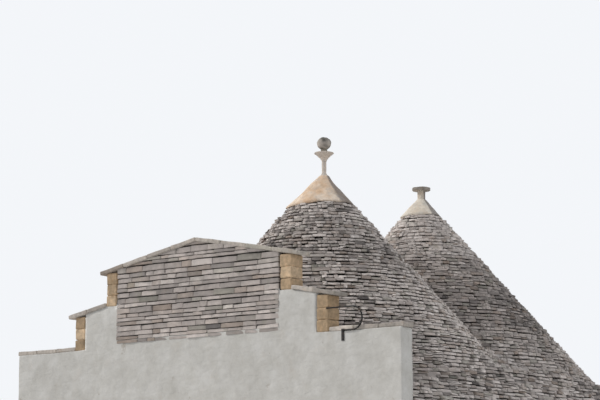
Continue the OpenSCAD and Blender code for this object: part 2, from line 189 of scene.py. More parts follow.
class MaterialGraph(Graph):
    """The graph of one new material, round its Principled shader."""

    chalky = {"Specular IOR Level": 0.2, "Diffuse Roughness": 1.0}

    def __init__(self, name: str) -> None:
        """Starts the material.

        Args:
            name: the material's name.
        """
        self.material = bpy.data.materials.new(name)
        self.material.use_nodes = True
        self.material.node_tree.nodes.clear()
        super().__init__(self.material.node_tree)
        self.shader = self.add("ShaderNodeBsdfPrincipled")
        self.add("ShaderNodeOutputMaterial", {"Surface": self.shader.outputs[0]})

    def weathered(self, weather: NodeTree, color: Value, scale: float, contrast: float, lichen: float,
                  stain: float) -> list[NodeSocket]:
        """Weathers a colour with the shared group, and returns its colour, height and roughness."""
        values = {"Color": color, "Scale": scale, "Contrast": contrast, "Lichen": lichen, "Stain": stain}
        return list(self.add("ShaderNodeGroup", values, node_tree=weather).outputs)

    def close(self, color: Value, height: Value, roughness: Value, depth: float, strength: float = 1.0,
              others: dict[str, Value] | None = None) -> Material:
        """Feeds the shader.

        Args:
            color: the base colour.
            height: the relief, from 0 to 1.
            roughness: the roughness.
            depth: the relief's depth in metres.
            strength: how strongly the relief shows.
            others: the shader's other inputs by name.

        Returns:
            The finished material.
        """
        relief = self.add("ShaderNodeBump", {"Height": height, "Distance": depth, "Strength": strength})
        values = {"Base Color": color, "Roughness": roughness, "Normal": relief.outputs[0], **(others or {})}
        for label, value in values.items():
            self.feed(self.shader.inputs[label], value)
        return self.material


def new_group(name: str, inputs: dict[str, float | Triple]) -> tuple[NodeTree, Graph]:
    """Starts a shader node group that puts out a colour, a height and a roughness.

    Args:
        name: the group's name.
        inputs: input name to its default, a number or a colour.

    Returns:
        The group and the graph that adds nodes to it.
    """
    tree = bpy.data.node_groups.new(name, "ShaderNodeTree")
    for label, default in inputs.items():
        colored = isinstance(default, tuple)
        kind = "NodeSocketColor" if colored else "NodeSocketFloat"
        socket = tree.interface.new_socket(label, in_out="INPUT", socket_type=kind)
        socket.default_value = (*default, 1.0) if colored else default
    for label, kind in (("Color", "NodeSocketColor"), ("Height", "NodeSocketFloat"),
                        ("Roughness", "NodeSocketFloat")):
        tree.interface.new_socket(label, in_out="OUTPUT", socket_type=kind)
    return tree, Graph(tree)


def weather_group() -> NodeTree:
    """Mottling, grey-green lichen and ochre stain on stone and plaster.

    Returns:
        The node group.
    """
    lichen, stain = (0.30, 0.31, 0.19), (0.42, 0.25, 0.11)
    tree, graph = new_group(
        "weather", {"Color": (0.5, 0.5, 0.5), "Scale": 1.0, "Contrast": 0.2, "Lichen": 0.3, "Stain": 0.3})
    given = graph.add("NodeGroupInput").outputs
    where = graph.vector("MULTIPLY", graph.place(), given["Scale"])
    broad, middle = graph.noise(where, 1.3), graph.noise(where, 9.0)
    fine = graph.noise(where, 55.0, 6.0, 0.65)
    mottle = graph.calc("MULTIPLY_ADD", graph.calc("ADD", broad, middle), 2.0, fine)
    shade = graph.calc("MULTIPLY_ADD", graph.calc("SUBTRACT", mottle, 2.5), given["Contrast"], 1.0)
    grey = graph.add("ShaderNodeCombineColor", {0: shade, 1: shade, 2: shade}).outputs[0]
    color = graph.mix(1.0, given["Color"], grey, "MULTIPLY")
    shifted = graph.vector("ADD", where, (7.3, 2.1, 4.4))
    patch = graph.remap(graph.noise(shifted, 4.5, 7.0, 0.72), 0.55, 0.66, 0.0, 1.0)
    zone = graph.remap(broad, 0.42, 0.62, 0.15, 1.0)
    growth = graph.calc("MULTIPLY", graph.calc("MULTIPLY", patch, zone), given["Lichen"])
    color = graph.mix(growth, color, lichen)
    moved = graph.vector("ADD", where, (1.7, 9.2, 5.8))
    spots = graph.remap(graph.noise(moved, 3.1, 6.0, 0.68), 0.56, 0.70, 0.0, 1.0)
    color = graph.mix(graph.calc("MULTIPLY", spots, given["Stain"]), color, stain)
    height = graph.calc("MULTIPLY_ADD", middle, 0.6, graph.calc("MULTIPLY", fine, 0.4))
    rough = graph.remap(middle, 0.3, 0.7, 0.78, 0.96)
    graph.add("NodeGroupOutput", {"Color": color, "Height": height, "Roughness": rough})
    return tree


def grain_group() -> NodeTree:
    """Upright wood grain that shows through worn paint.

    Returns:
        The node group.
    """
    pale = (0.62, 0.64, 0.58)
    tree, graph = new_group("grain", {"Paint": (0.3, 0.4, 0.35), "Wood": (0.3, 0.2, 0.1), "Wear": 0.4})
    given = graph.add("NodeGroupInput").outputs
    fibres = graph.noise(graph.vector("MULTIPLY", graph.place(), (60.0, 60.0, 4.0)), 1.0, 6.0, 0.7)
    broad = graph.noise(graph.place(), 5.0)
    both = graph.calc("MULTIPLY_ADD", fibres, 0.6, graph.calc("MULTIPLY", broad, 0.4))
    worn = graph.calc("MULTIPLY", graph.remap(both, 0.52, 0.64, 0.0, 1.0), given["Wear"])
    faded = graph.layer(given["Paint"], pale, broad, 0.35, 0.65, 0.0, 0.35)
    color, rough = graph.mix(worn, faded, given["Wood"]), graph.remap(worn, 0.0, 1.0, 0.55, 0.85)
    graph.add("NodeGroupOutput", {"Color": color, "Height": fibres, "Roughness": rough})
    return tree


@dataclass(frozen=True)
class StoneFinish:
    """A stone finish: three tones of each laid piece, and how weathered it is."""

    slot: Slot
    dark: Triple
    middle: Triple
    light: Triple
    scale: float
    contrast: float
    lichen: float
    stain: float
    bump: float
    laid: bool = True
    # joint is the most painted shade laid where a slab lies back from its face.
    joint: float = 0.55
    brown: Triple = (0.33, 0.23, 0.16)
    olive: Triple = (0.25, 0.26, 0.19)
    shade: Triple = (0.05, 0.045, 0.04)
    specular: float = 0.25

    def build(self, weather: NodeTree) -> Material:
        """Makes the material, which reads the laid pieces' own tone, tint and rim where they have them.

        Args:
            weather: the shared weathering group.

        Returns:
            The material.
        """
        graph = MaterialGraph(self.slot.value)
        base = self.middle
        if self.laid:
            tone, tint, rim = (graph.add("ShaderNodeAttribute", attribute_name=label).outputs["Fac"]
                               for label in ("tone", "tint", "rim"))
            base = graph.layer(self.dark, self.middle, tone, 0.0, 0.5, 0.0, 1.0)
            base = graph.layer(base, self.light, tone, 0.5, 1.0, 0.0, 1.0)
            base = graph.layer(base, self.brown, tint, 0.82, 1.0, 0.0, 0.50)
            base = graph.layer(base, self.olive, tint, 0.12, 0.0, 0.0, 0.40)
            # Painted shade: back from a slab's outer face, where its rim fades, the colour darkens towards
            # the shade colour, by up to the joint share.
            base = graph.layer(base, self.shade, rim, 0.4, 1.0, self.joint, 0.0)
        worn = graph.weathered(weather, base, self.scale, self.contrast, self.lichen, self.stain)
        return graph.close(*worn, self.bump, others=graph.chalky | {"Specular IOR Level": self.specular})


@dataclass(frozen=True)
class PlasterFinish:
    """Lime plaster laid on by hand: soft ochre clouds, pale runs of rain, painted shade on the neck above a
    given height, and painted shade on the side away from the sun about a given axis.
    """

    name: str
    cream: Triple
    ochre: Triple
    grey: Triple
    clouds: float = 0.8
    lichen: float = 0.15
    axis_x: float | None = None
    neck_shade_z: float | None = None
    lee: Triple = (0.19, 0.163, 0.157)
    neck_shade: Triple = (0.13, 0.12, 0.09)

    def build(self, weather: NodeTree) -> Material:
        """Makes the material.

        Args:
            weather: the shared weathering group.

        Returns:
            The material.
        """
        graph = MaterialGraph(self.name)
        where = graph.place()
        cloud = graph.noise(where, 3.2, 5.0, 0.6)
        base = graph.layer(self.cream, self.ochre, cloud, 0.42, 0.60, 0.0, self.clouds)
        along = graph.vector("MULTIPLY", where, (9.0, 9.0, 1.6))
        base = graph.layer(base, self.grey, graph.noise(along, 1.0, 5.0, 0.6), 0.50, 0.66, 0.0, 0.55)
        # Painted shade: about the axis, the side turned away from the sun is darkened towards the painted
        # shade colour, with a noisy edge.
        if self.axis_x is not None:
            level = graph.vector("ADD", where, (-self.axis_x, 0.0, 0.0))
            turn = graph.vector("NORMALIZE", graph.vector("MULTIPLY", level, (1.0, 1.0, 0.0)))
            shaded_side = graph.vector("DOT_PRODUCT", turn, -LOW_SIDE)
            edge = graph.calc("MULTIPLY_ADD", graph.noise(where, 6.0, 6.0, 0.7), 0.3, shaded_side)
            base = graph.layer(base, self.lee, edge, 0.60, 0.72, 0.0, 0.72)
        # Painted shade: above the height, on the neck under the ball, the plaster darkens towards the neck
        # shade colour.
        if self.neck_shade_z is not None:
            low, high = self.neck_shade_z, self.neck_shade_z + 0.02
            base = graph.layer(base, self.neck_shade, graph.height(where), low, high, 0.0, 0.75)
        worn = graph.weathered(weather, base, 1.6, 0.22, self.lichen, 0.30)
        return graph.close(*worn, 0.010, others=graph.chalky)


@dataclass(frozen=True)
class Limewash:
    """Many coats of white lime, thin and grey in places, soiled at the foot."""

    thin: Triple = (0.57, 0.553, 0.52)
    thick: Triple = (0.67, 0.656, 0.632)
    seam: Triple = (0.40, 0.37, 0.33)
    bare: Triple = (0.42, 0.38, 0.33)
    foot: Triple = (0.42, 0.37, 0.30)

    def build(self, weather: NodeTree) -> Material:
        """Makes the material.

        Args:
            weather: the shared weathering group.

        Returns:
            The material.
        """
        graph = MaterialGraph(Slot.LIMEWASH.value)
        where = graph.place()
        base = graph.layer(self.thin, self.thick, graph.noise(where, 2.6, 8.0, 0.68), 0.35, 0.65, 0.0, 1.0)
        sway = graph.noise(where, 4.0, 3.0, 0.5, colored=True)
        bent = graph.vector("ADD", graph.vector("MULTIPLY", where, (3.0, 3.0, 7.0)), sway)
        cells = graph.add("ShaderNodeTexVoronoi", {"Vector": bent, "Scale": 1.0}, feature="DISTANCE_TO_EDGE")
        hollow = graph.remap(cells.outputs[0], 0.0, 0.30, 0.0, 1.0)
        base = graph.layer(base, self.seam, hollow, 0.0, 0.5, 0.05, 0.0)
        base = graph.layer(base, self.bare, graph.noise(where, 3.4, 8.0, 0.75), 0.64, 0.68, 0.0, 0.7)
        uneven = graph.calc("MULTIPLY_ADD", graph.noise(where, 2.2), 0.6, graph.height(where))
        base = graph.layer(base, self.foot, uneven, 0.35, 0.75, 0.55, 0.0)
        color, height, rough = graph.weathered(weather, base, 0.8, 0.07, 0.05, 0.08)
        lumps = graph.calc("MULTIPLY_ADD", graph.noise(where, 5.0, 5.0), 1.2, height)
        lumps = graph.calc("MULTIPLY_ADD", hollow, 0.30, lumps)
        return graph.close(color, lumps, rough, 0.02, 0.8, graph.chalky)


@dataclass(frozen=True)
class WornPaint:
    """Grey-green paint worn down to the wood."""

    paint: Triple = (0.17, 0.25, 0.20)
    wood: Triple = (0.24, 0.15, 0.08)
    wear: float = 0.7

    def build(self, grain: NodeTree) -> Material:
        """Makes the material.

        Args:
            grain: the wood grain group.

        Returns:
            The material.
        """
        graph = MaterialGraph(Slot.TIMBER.value)
        values = {"Paint": self.paint, "Wood": self.wood, "Wear": self.wear}
        return graph.close(*graph.add("ShaderNodeGroup", values, node_tree=grain).outputs, 0.002, 0.7)


@dataclass(frozen=True)
class OldGlass:
    """Old window glass with slight waves."""

    dull: Triple = (0.80, 0.88, 0.86)
    clear: Triple = (0.88, 0.93, 0.92)
    transmission: float = 0.9
    ior: float = 1.5

    def build(self) -> Material:
        """Makes the material.

        Returns:
            The material.
        """
        graph = MaterialGraph(Slot.GLASS.value)
        waves = graph.noise(graph.place(), 6.0, 2.0)
        color, rough = graph.mix(waves, self.dull, self.clear), graph.remap(waves, 0.3, 0.7, 0.03, 0.10)
        others = {"Transmission Weight": self.transmission, "IOR": self.ior}
        return graph.close(color, waves, rough, 0.004, 0.4, others)


@dataclass(frozen=True)
class ForgedIron:
    """Forged iron, black with brown rust in the hollows of the hammer marks."""

    black: Triple = (0.022, 0.021, 0.021)
    rusty: Triple = (0.07, 0.038, 0.022)

    def build(self) -> Material:
        """Makes the material.

        Returns:
            The material.
        """
        graph = MaterialGraph(Slot.IRON.value)
        marks = graph.noise(graph.place(), 30.0, 5.0, 0.6)
        rust = graph.remap(graph.noise(graph.place(), 12.0, 6.0, 0.7), 0.52, 0.68, 0.0, 0.7)
        rough, metal = graph.remap(rust, 0.0, 1.0, 0.45, 0.9), graph.remap(rust, 0.0, 1.0, 0.8, 0.0)
        color = graph.mix(rust, self.black, self.rusty)
        return graph.close(color, marks, rough, 0.004, 0.8, {"Metallic": metal})


@dataclass(frozen=True)
class JointShadeFill:
    """Earth and chips behind the roof slabs, coloured near-black as painted shade for the gaps between them.
    """

    earth: Triple = (0.015, 0.013, 0.012)
    chips: Triple = (0.06, 0.054, 0.048)

    def build(self) -> Material:
        """Makes the material.

        Returns:
            The material.
        """
        graph = MaterialGraph("joint_fill_painted_shade")
        grit = graph.noise(graph.place(), 25.0, 5.0, 0.7)
        color, rough = graph.mix(grit, self.earth, self.chips), graph.remap(grit, 0.0, 1.0, 0.85, 1.0)
        return graph.close(color, grit, rough, 0.02)


@dataclass(frozen=True)
class FloorFlags:
    """Floor of worn limestone flags with sanded joints."""

    length: float = 0.58
    width: float = 0.39
    joint: float = 0.010
    pale: Triple = (0.42, 0.38, 0.32)
    dark: Triple = (0.30, 0.27, 0.23)
    sand: Triple = (0.12, 0.10, 0.08)

    def build(self, weather: NodeTree) -> Material:
        """Makes the material.

        Args:
            weather: the shared weathering group.

        Returns:
            The material.
        """
        graph = MaterialGraph("floor_flags")
        where = graph.place()
        shift = graph.vector("MULTIPLY", graph.noise(where, 1.7, 2.0, 0.5, colored=True), (0.12, 0.12, 0.12))
        color, joint = graph.add("ShaderNodeTexBrick", {
            "Vector": graph.vector("ADD", where, shift), "Color1": self.pale, "Color2": self.dark,
            "Mortar": self.sand, "Scale": 1.0, "Mortar Size": self.joint, "Mortar Smooth": 0.6,
            "Brick Width": self.length, "Row Height": self.width}).outputs
        color, height, _ = graph.weathered(weather, color, 1.0, 0.3, 0.0, 0.2)
        raised = graph.calc("MULTIPLY_ADD", joint, -1.5, height)
        return graph.close(color, raised, graph.remap(joint, 0.0, 1.0, 0.55, 0.95), 0.01, 0.8)


class Palette:
    """All the finishes of the house, built once, and the dressing of its pieces with them."""

    def __init__(self) -> None:
        """Builds the shared groups and each material."""
        weather = weather_group()
        stones = (
            StoneFinish(Slot.ROOF, (0.188, 0.170, 0.163), (0.52, 0.463, 0.434), (0.81, 0.744, 0.704),
                        scale=1.0, contrast=0.34, lichen=0.28, stain=0.14, bump=0.010),
            StoneFinish(Slot.RUBBLE, (0.25, 0.23, 0.20), (0.42, 0.39, 0.35), (0.58, 0.54, 0.48),
                        scale=1.2, contrast=0.35, lichen=0.10, stain=0.30, bump=0.012),
            StoneFinish(Slot.CARVED, (0.11, 0.105, 0.09), (0.42, 0.378, 0.34), (0.68, 0.62, 0.56),
                        scale=2.0, contrast=0.45, lichen=0.42, stain=0.25, bump=0.006),
            StoneFinish(Slot.TUFA, (0.30, 0.21, 0.125), (0.52, 0.385, 0.25), (0.66, 0.52, 0.365),
                        scale=2.0, contrast=0.55, lichen=0.15, stain=0.40, bump=0.012),
        )
        # The pinnacle plaster gets painted shade from just under the top of the bowl, on the neck under the
        # ball.
        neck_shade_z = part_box("main_pinnacle_bowl")[1].z - 0.06
        plasters = {
            "main": PlasterFinish("plaster", (0.84, 0.725, 0.605), (0.72, 0.515, 0.34), (0.58, 0.528, 0.485),
                                  axis_x=-HOUSE.axis),
            "second": PlasterFinish(
                "plaster_pale", (0.80, 0.745, 0.66), (0.70, 0.58, 0.45), (0.65, 0.63, 0.59), clouds=0.5,
                lichen=0.35, axis_x=HOUSE.axis),
            "pinnacle": PlasterFinish(
                "plaster_grey", (0.71, 0.64, 0.57), (0.66, 0.52, 0.40), (0.48, 0.46, 0.45), clouds=0.6,
                lichen=0.20, neck_shade_z=neck_shade_z),
        }
        self.plasters = {label: finish.build(weather) for label, finish in plasters.items()}
        self.laid = {finish.slot: finish.build(weather) for finish in stones}
        self.plain = {finish.slot: replace(finish, laid=False).build(weather) for finish in stones}
        others = {
            Slot.PLASTER: self.plasters["main"],
            Slot.LIMEWASH: Limewash().build(weather),
            Slot.TIMBER: WornPaint().build(grain_group()),
            Slot.GLASS: OldGlass().build(),
            Slot.IRON: ForgedIron().build(),
        }
        self.laid |= others
        self.plain |= others
        # The near-black fill behind slabs and stones, which is painted shade.
        self.core = JointShadeFill().build()
        self.flags = FloorFlags().build(weather)

    def dress(self, bm: BMesh, name: str, slot: Slot, nodes: Iterable[str] = (),
              smooth_deg: float | None = None, materials: Sequence[Material] = ()) -> None:
        """Makes a finished piece and tells the frame about it.

        Args:
            bm: the piece's mesh, already in its place.
            name: the piece's plain name.
            slot: the record's slot that it takes its finish from.
            nodes: the CAD nodes that it stands for.
            smooth_deg: the angle under which it is shaded smooth.
            materials: its materials, where they aren't the slot's.
        """
        mesh = to_mesh(bm, name, smooth_deg)
        piece = bpy.data.objects.new(name, mesh)
        bpy.context.scene.collection.objects.link(piece)
        for material in materials or [self.laid[slot]]:
            mesh.materials.append(material)
        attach(piece, "root")
        if nodes:
            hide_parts(*nodes)
        LOG.info("%s: %d triangles", name, sum(len(face.vertices) - 2 for face in mesh.polygons))

    def dress_nodes(self) -> None:
        """Gives every CAD node the material of its slot."""
        slots = {row["node"]: Slot(row["material_slot"]) for row in frame["record"]["subparts"]}
        for name, node in frame["nodes"].items():
            node.data.materials.clear()
            node.data.materials.append(self.flags if name.endswith("_floor") else self.plain[slots[name]])


@dataclass
class Part:
    """A sub-assembly of the house, which is dressed from the palette."""

    palette: Palette


# Meshes and masonry


def to_mesh(bm: BMesh, name: str, smooth_deg: float | None = None) -> Mesh:
    """Turns a bmesh into a mesh.

    Args:
        bm: the bmesh, which is freed.
        name: the mesh's name.
        smooth_deg: the angle under which it is shaded smooth.

    Returns:
        The mesh.
    """
    mesh = bpy.data.meshes.new(name)
    bm.to_mesh(mesh)
    bm.free()
    if smooth_deg is not None:
        mesh.shade_smooth()
        mesh.set_sharp_from_angle(angle=math.radians(smooth_deg))
    return mesh


def node_copy(node: str) -> BMesh:
    """Copies a CAD node's mesh.

    Args:
        node: the node's name.

    Returns:
        The copy, with its vertices joined.
    """
    bm = bmesh.new()
    bm.from_mesh(frame["nodes"][node].data)
    bmesh.ops.remove_doubles(bm, verts=bm.verts, dist=1e-4)
    return bm


def cuboid(size: Vector, middle: Vector) -> BMesh:
    """Starts a mesh with a box.

    Args:
        size: the box's size.
        middle: its middle.

    Returns:
        The mesh.
    """
    bm = bmesh.new()
    bmesh.ops.create_cube(bm, size=1.0)
    bmesh.ops.scale(bm, vec=size, verts=bm.verts)
    bmesh.ops.translate(bm, vec=middle, verts=bm.verts)
    return bm


def soften(bm: BMesh, edges: Iterable[BMEdge], width: float, segments: int = 1) -> None:
    """Bevels edges."""
    bmesh.ops.bevel(bm, geom=list(edges), offset=width, segments=segments, affect="EDGES", profile=0.5,
                    material=-1)


def cut(bm: BMesh, place: Sequence[float], normal: Sequence[float], off: bool = False) -> None:
    """Cuts a mesh along a plane.

    Args:
        bm: the mesh.
        place: a point on the plane.
        normal: the plane's direction.
        off: whether what lies beyond the plane is cut off and the hole filled.
    """
    geom = [*bm.verts, *bm.edges, *bm.faces]
    made = bmesh.ops.bisect_plane(bm, geom=geom, plane_co=place, plane_no=normal, clear_outer=off)["geom_cut"]
    if off:
        bmesh.ops.holes_fill(bm, edges=[item for item in made if isinstance(item, BMEdge)], sides=0)


def ripple(bm: BMesh, size: float, depth: float, seed: float = 0.0) -> None:
    """Moves each vertex along its normal by a smooth noise.

    Args:
        bm: the mesh.
        size: the noise's wavelength.
        depth: the largest move.
        seed: an offset of the noise.
    """
    bm.normal_update()
    shift = Vector((seed, seed * 0.7, -seed))
    for vert in bm.verts:
        vert.co += vert.normal * noise.noise(vert.co / size + shift) * depth


def warp(place: Vector, size: float, depth: float) -> Vector:
    """A smooth move of space, the same for every piece at a place, so that pieces stay in contact."""
    return noise.noise_vector(place / size) * depth


def swell(place: Vector, level: float, upright: float, shift: float = 0.0) -> float:
    """A smooth noise at a place, whose waves are as narrow as the level and the upright factor say."""
    return noise.noise(Vector((place.x * level, place.y * level, place.z * upright + shift)))


def block(rng: random.Random, size: Sequence[float], bevel: float, rough: float, cuts: int) -> Mesh:
    """A dressed stone or plank with softened arrises, its middle at the origin.

    Args:
        rng: the seeded random source.
        size: length, depth and height.
        bevel: width of the softened arris.
        rough: how far corners and faces wander.
        cuts: cuts across the length.

    Returns:
        The mesh.
    """
    size = Vector(size)
    bm = cuboid(size, Vector())
    axis = max(range(3), key=lambda i: size[i])
    longest = [e for e in bm.edges if abs((e.verts[0].co - e.verts[1].co)[axis]) > size[axis] * 0.9]
    bmesh.ops.subdivide_edges(bm, edges=longest, cuts=cuts, use_grid_fill=True)
    for vert in bm.verts:
        vert.co += Vector([rng.uniform(-rough, rough) for _ in range(3)])
    soften(bm, [e for e in bm.edges if e.calc_face_angle(0.0) > 0.7], bevel)
    bmesh.ops.recalc_face_normals(bm, faces=bm.faces)
    return to_mesh(bm, "block")


@dataclass
class SlabYard:
    """Split roof slabs of a few shapes, made once and laid many times.

    A slab's foot stands at the origin: its outer face looks along +Y, and its length is along X. Roof
    slabs are as ragged as 1.
    """

    seed: int
    ragged: float = 1.0
    count: int = 14
    size: Vector = field(default_factory=lambda: Vector((0.27, 0.24, 0.068)))

    def __post_init__(self) -> None:
        """Splits the slabs."""
        rng = random.Random(self.seed)
        self.shapes = [self.split(rng) for _ in range(self.count)]

    def split(self, rng: random.Random) -> Mesh:
        """Splits one slab: its outer edge is broken and worn, its back stays square.

        Args:
            rng: the seeded random source.

        Returns:
            The slab, whose rim is 1 at its outer face and fades inwards, where the roof finish lays painted
            shade.
        """
        bm = cuboid(self.size, Vector((0.0, -self.size.y / 2, self.size.z / 2)))
        long_edges = [e for e in bm.edges if abs(e.verts[0].co.x - e.verts[1].co.x) > 0.2]
        bmesh.ops.subdivide_edges(bm, edges=long_edges, cuts=2, use_grid_fill=True)
        ragged = self.ragged
        for vert in [vert for vert in bm.verts if vert.co.y > -0.01]:
            corner, high = abs(vert.co.x) > 0.12, vert.co.z > 0.03
            vert.co.y += ragged * (rng.uniform(-0.026, -0.003) if corner else rng.uniform(-0.012, 0.010))
            vert.co.y -= ragged * rng.uniform(0.010, 0.026) if high else 0.0
            if corner:
                vert.co.x += ragged * rng.uniform(-0.006, 0.004) * math.copysign(1.0, vert.co.x)
            else:
                vert.co.x += rng.uniform(-0.02, 0.02)
            vert.co.z += ragged * (rng.uniform(-0.012, 0.002) if high else rng.uniform(-0.002, 0.007))
        front = [f for f in bm.faces if f.calc_center_median().y > -0.03]
        outline = {e for f in front for e in f.edges if sum(g in front for g in e.link_faces) == 1}
        soften(bm, outline, rng.uniform(0.007, 0.012))
        bmesh.ops.recalc_face_normals(bm, faces=bm.faces)
        rim = bm.verts.layers.float.new("rim")
        for vert in bm.verts:
            vert[rim] = unit(1.0 + vert.co.y / 0.10)
        return to_mesh(bm, "slab")


@dataclass
class Track:
    """A line of points, along which a place is found by its distance from the start."""

    points: Sequence[Vector]

    def __post_init__(self) -> None:
        """Measures the line."""
        steps = ((high - low).length for low, high in zip(self.points, self.points[1:]))
        self.reach = list(accumulate(steps, initial=0.0))

    def at(self, mark: float) -> Vector:
        """Finds a place.

        Args:
            mark: its distance from the start.

        Returns:
            The place.
        """
        i = min(max(bisect_left(self.reach, mark) - 1, 0), len(self.reach) - 2)
        share = (mark - self.reach[i]) / max(1e-6, self.reach[i + 1] - self.reach[i])
        return self.points[i].lerp(self.points[i + 1], min(1.0, share))


def stretches(start: float, end: float, least: float,
              draw: Callable[[], float]) -> Iterator[tuple[float, float]]:
    """Splits a line into pieces of drawn lengths, the last of which takes in a rest that is too short.

    Args:
        start: where the line starts.
        end: where it ends.
        least: the shortest rest that becomes a piece of its own.
        draw: draws one length.

    Returns:
        The start and the length of each piece, drawn when it is asked for.
    """
    while start < end - 0.02:
        length = draw()
        if end - start - length < least:
            length = end - start
        yield start, length
        start += length


@dataclass
class Masonry:
    """Laid stones, gathered into one mesh with a tone and a tint for each stone."""

    rng: random.Random
    yard: SlabYard | None = None
    tone: float = 0.48
    fill: float = 0.84
    loose: float = 1.0
    spread: float = 0.24
    out: float = 0.010
    shortest: float = 0.07
    longest: float = 0.50
    sunk_share: float = 0.06
    double_share: float = 0.10
    fuller: Vector = field(default_factory=Vector)
    bm: BMesh = field(default_factory=bmesh.new)

    def __post_init__(self) -> None:
        """Adds the layers that the stones' meshes share."""
        for label in ("rim", "tone", "tint"):
            self.bm.verts.layers.float.new(label)

    def add(self, shape: Mesh, place: Matrix, tone: float, tint: float = 0.5) -> None:
        """Adds a copy of a shape.

        Args:
            shape: the stone or board.
            place: its place.
            tone: from 0 for the finish's dark colour to 1 for its light one.
            tint: under 0.12 olive, over 0.82 brown.
        """
        stone = shape.copy()
        stone.transform(place)
        for label, value in (("tone", tone), ("tint", tint), ("rim", 1.0)):
            if label not in stone.attributes:
                layer = stone.attributes.new(label, "FLOAT", "POINT")
                layer.data.foreach_set("value", [value] * len(stone.vertices))
        self.bm.from_mesh(stone)
        bpy.data.meshes.remove(stone)

    def put(self, shape: Mesh, middle: Sequence[float], tone: float, tint: float = 0.5,
            turn: Matrix = Matrix.Identity(4)) -> None:
        """Adds a shape that is used only once, with its middle at a place."""
        self.add(shape, Matrix.Translation(middle) @ turn, tone, tint)
        bpy.data.meshes.remove(shape)

    def lay(self, foot: Vector, outward: Vector, length: float, depth: float, height: float,
            shade: float = 0.0) -> None:
        """Lays one roof slab.

        Args:
            foot: the middle of the slab's outer face, at its foot.
            outward: the level direction that its outer face looks in.
            length: its length along the course.
            depth: how far it runs into the roof.
            height: its thickness.
            shade: how much lighter or darker than usual it is.
        """
        rng, loose, size = self.rng, self.loose, self.yard.size
        turn = Matrix((outward.cross(UP), outward, UP)).transposed().to_4x4()
        lean = Euler((loose * rng.gauss(-0.03, 0.05), loose * rng.gauss(0.0, 0.02),
                      loose * rng.gauss(0.0, 0.07)))
        stretch = Matrix.Diagonal((length / size.x, depth / size.y, height / size.z, 1.0))
        place = Matrix.Translation(foot) @ turn @ lean.to_matrix().to_4x4() @ stretch
        tone = unit(rng.gauss(self.tone, self.spread) + shade)
        self.add(rng.choice(self.yard.shapes), place, tone, rng.random())

    def run(self, points: Sequence[Vector], z: float, height: float, mean: float) -> None:
        """Lays a course of slabs along a line.

        Args:
            points: the line of the course's outer face, anticlockwise round the house.
            z: the height of the course's foot.
            height: its thickness.
            mean: the slabs' usual length.
        """
        rng, track = self.rng, Track(points)
        row_out, row_tone, row_fill = rng.gauss(0.0, 0.005), rng.gauss(0.0, 0.05), rng.gauss(0.0, 0.03)

        def draw() -> float:
            """Draws one slab's length."""
            return min(self.longest, max(self.shortest, rng.gauss(mean, mean * 0.42)))

        for start, length in stretches(0.0, track.reach[-1], 0.10, draw):
            first, last = track.at(start), track.at(start + length)
            chord = last - first
            if chord.length < 0.02:
                continue
            outward = Vector((chord.y, -chord.x, 0.0)).normalized()
            foot = (first + last) / 2 + UP * z
            broad = swell(foot, 0.9, 0.6)
            foot.z += (0.016 * swell(foot, 0.7, 0.3, 5.0) + 0.012 * swell(foot, 2.5, 1.5)
                       + rng.gauss(0.0, 0.004))
            sunk = rng.uniform(0.02, 0.05) if rng.random() < self.sunk_share else 0.0
            out = self.out + row_out + rng.gauss(0.0, 0.008) + 0.008 * broad - sunk
            foot += outward * (out + max(0.0, outward.dot(self.fuller)))
            depth = rng.uniform(0.20, 0.27)
            # Painted light and shade: slabs that stand further out are painted lighter and sunk slabs darker,
            # over a random tone for each course.
            shade = row_tone + 0.16 * broad - 4.0 * sunk
            if rng.random() < self.double_share:
                thin = height * 0.42
                self.lay(foot, outward, length * 0.99, depth, thin, shade)
                upper = foot + UP * height * 0.5 + outward * rng.gauss(-0.01, 0.008)
                self.lay(upper, outward, length * 0.98, depth, thin, shade)
            else:
                thick = height * (self.fill + row_fill + rng.uniform(-0.15, 0.13))
                self.lay(foot, outward, length * rng.uniform(0.93, 1.0), depth, thick, shade)


def between(marks: Marks, at: float) -> float:
    """The value at a place, on straight lines between marks.

    Args:
        marks: pairs of place and value.
        at: the place.

    Returns:
        The value.
    """
    for (low, first), (high, second) in zip(marks, marks[1:]):
        if at < high:
            return first + (second - first) * max(0.0, at - low) / (high - low)
    return marks[-1][1]


def heights(low: float, high: float) -> list[tuple[float, float]]:
    """Splits a height into level courses of the usual thickness.

    Args:
        low: the foot of the lowest course.
        high: the top of the highest.

    Returns:
        The foot and the thickness of each course.
    """
    count = max(1, round((high - low) / HOUSE.course))
    step = (high - low) / count
    return [(low + i * step, step) for i in range(count)]


def uneven_heights(rng: random.Random, low: float, high: float, mean: float) -> list[tuple[float, float]]:
    """Splits a height into courses of unlike thickness.

    Args:
        rng: the seeded random source.
        low: the foot of the lowest course.
        high: the top of the highest.
        mean: their usual thickness.

    Returns:
        The foot and the thickness of each course.
    """
    shares = [rng.uniform(0.65, 1.35) for _ in range(max(1, round((high - low) / mean)))]
    scale = (high - low) / sum(shares)
    feet = [low + scale * sum(shares[:i]) for i in range(len(shares))]
    return [(foot, share * scale) for foot, share in zip(feet, shares)]


def spin_profile(profile: Marks, axis_x: float, steps: int) -> BMesh:
    """Turns a closed profile about an upright axis.

    Args:
        profile: radius and height, from the foot on the axis to the top on the axis.
        axis_x: the axis's place along the house.
        steps: steps round the axis.

    Returns:
        The turned body.
    """
    bm = bmesh.new()
    verts = [bm.verts.new((axis_x + radius, 0.0, z)) for radius, z in profile]
    edges = [bm.edges.new(pair) for pair in zip(verts, verts[1:])]
    bmesh.ops.spin(bm, geom=[*verts, *edges], cent=(axis_x, 0.0, 0.0), axis=UP, angle=math.tau, steps=steps,
                   use_merge=True)
    bmesh.ops.remove_doubles(bm, verts=bm.verts, dist=1e-5)
    bmesh.ops.recalc_face_normals(bm, faces=bm.faces)
    return bm


# Roof


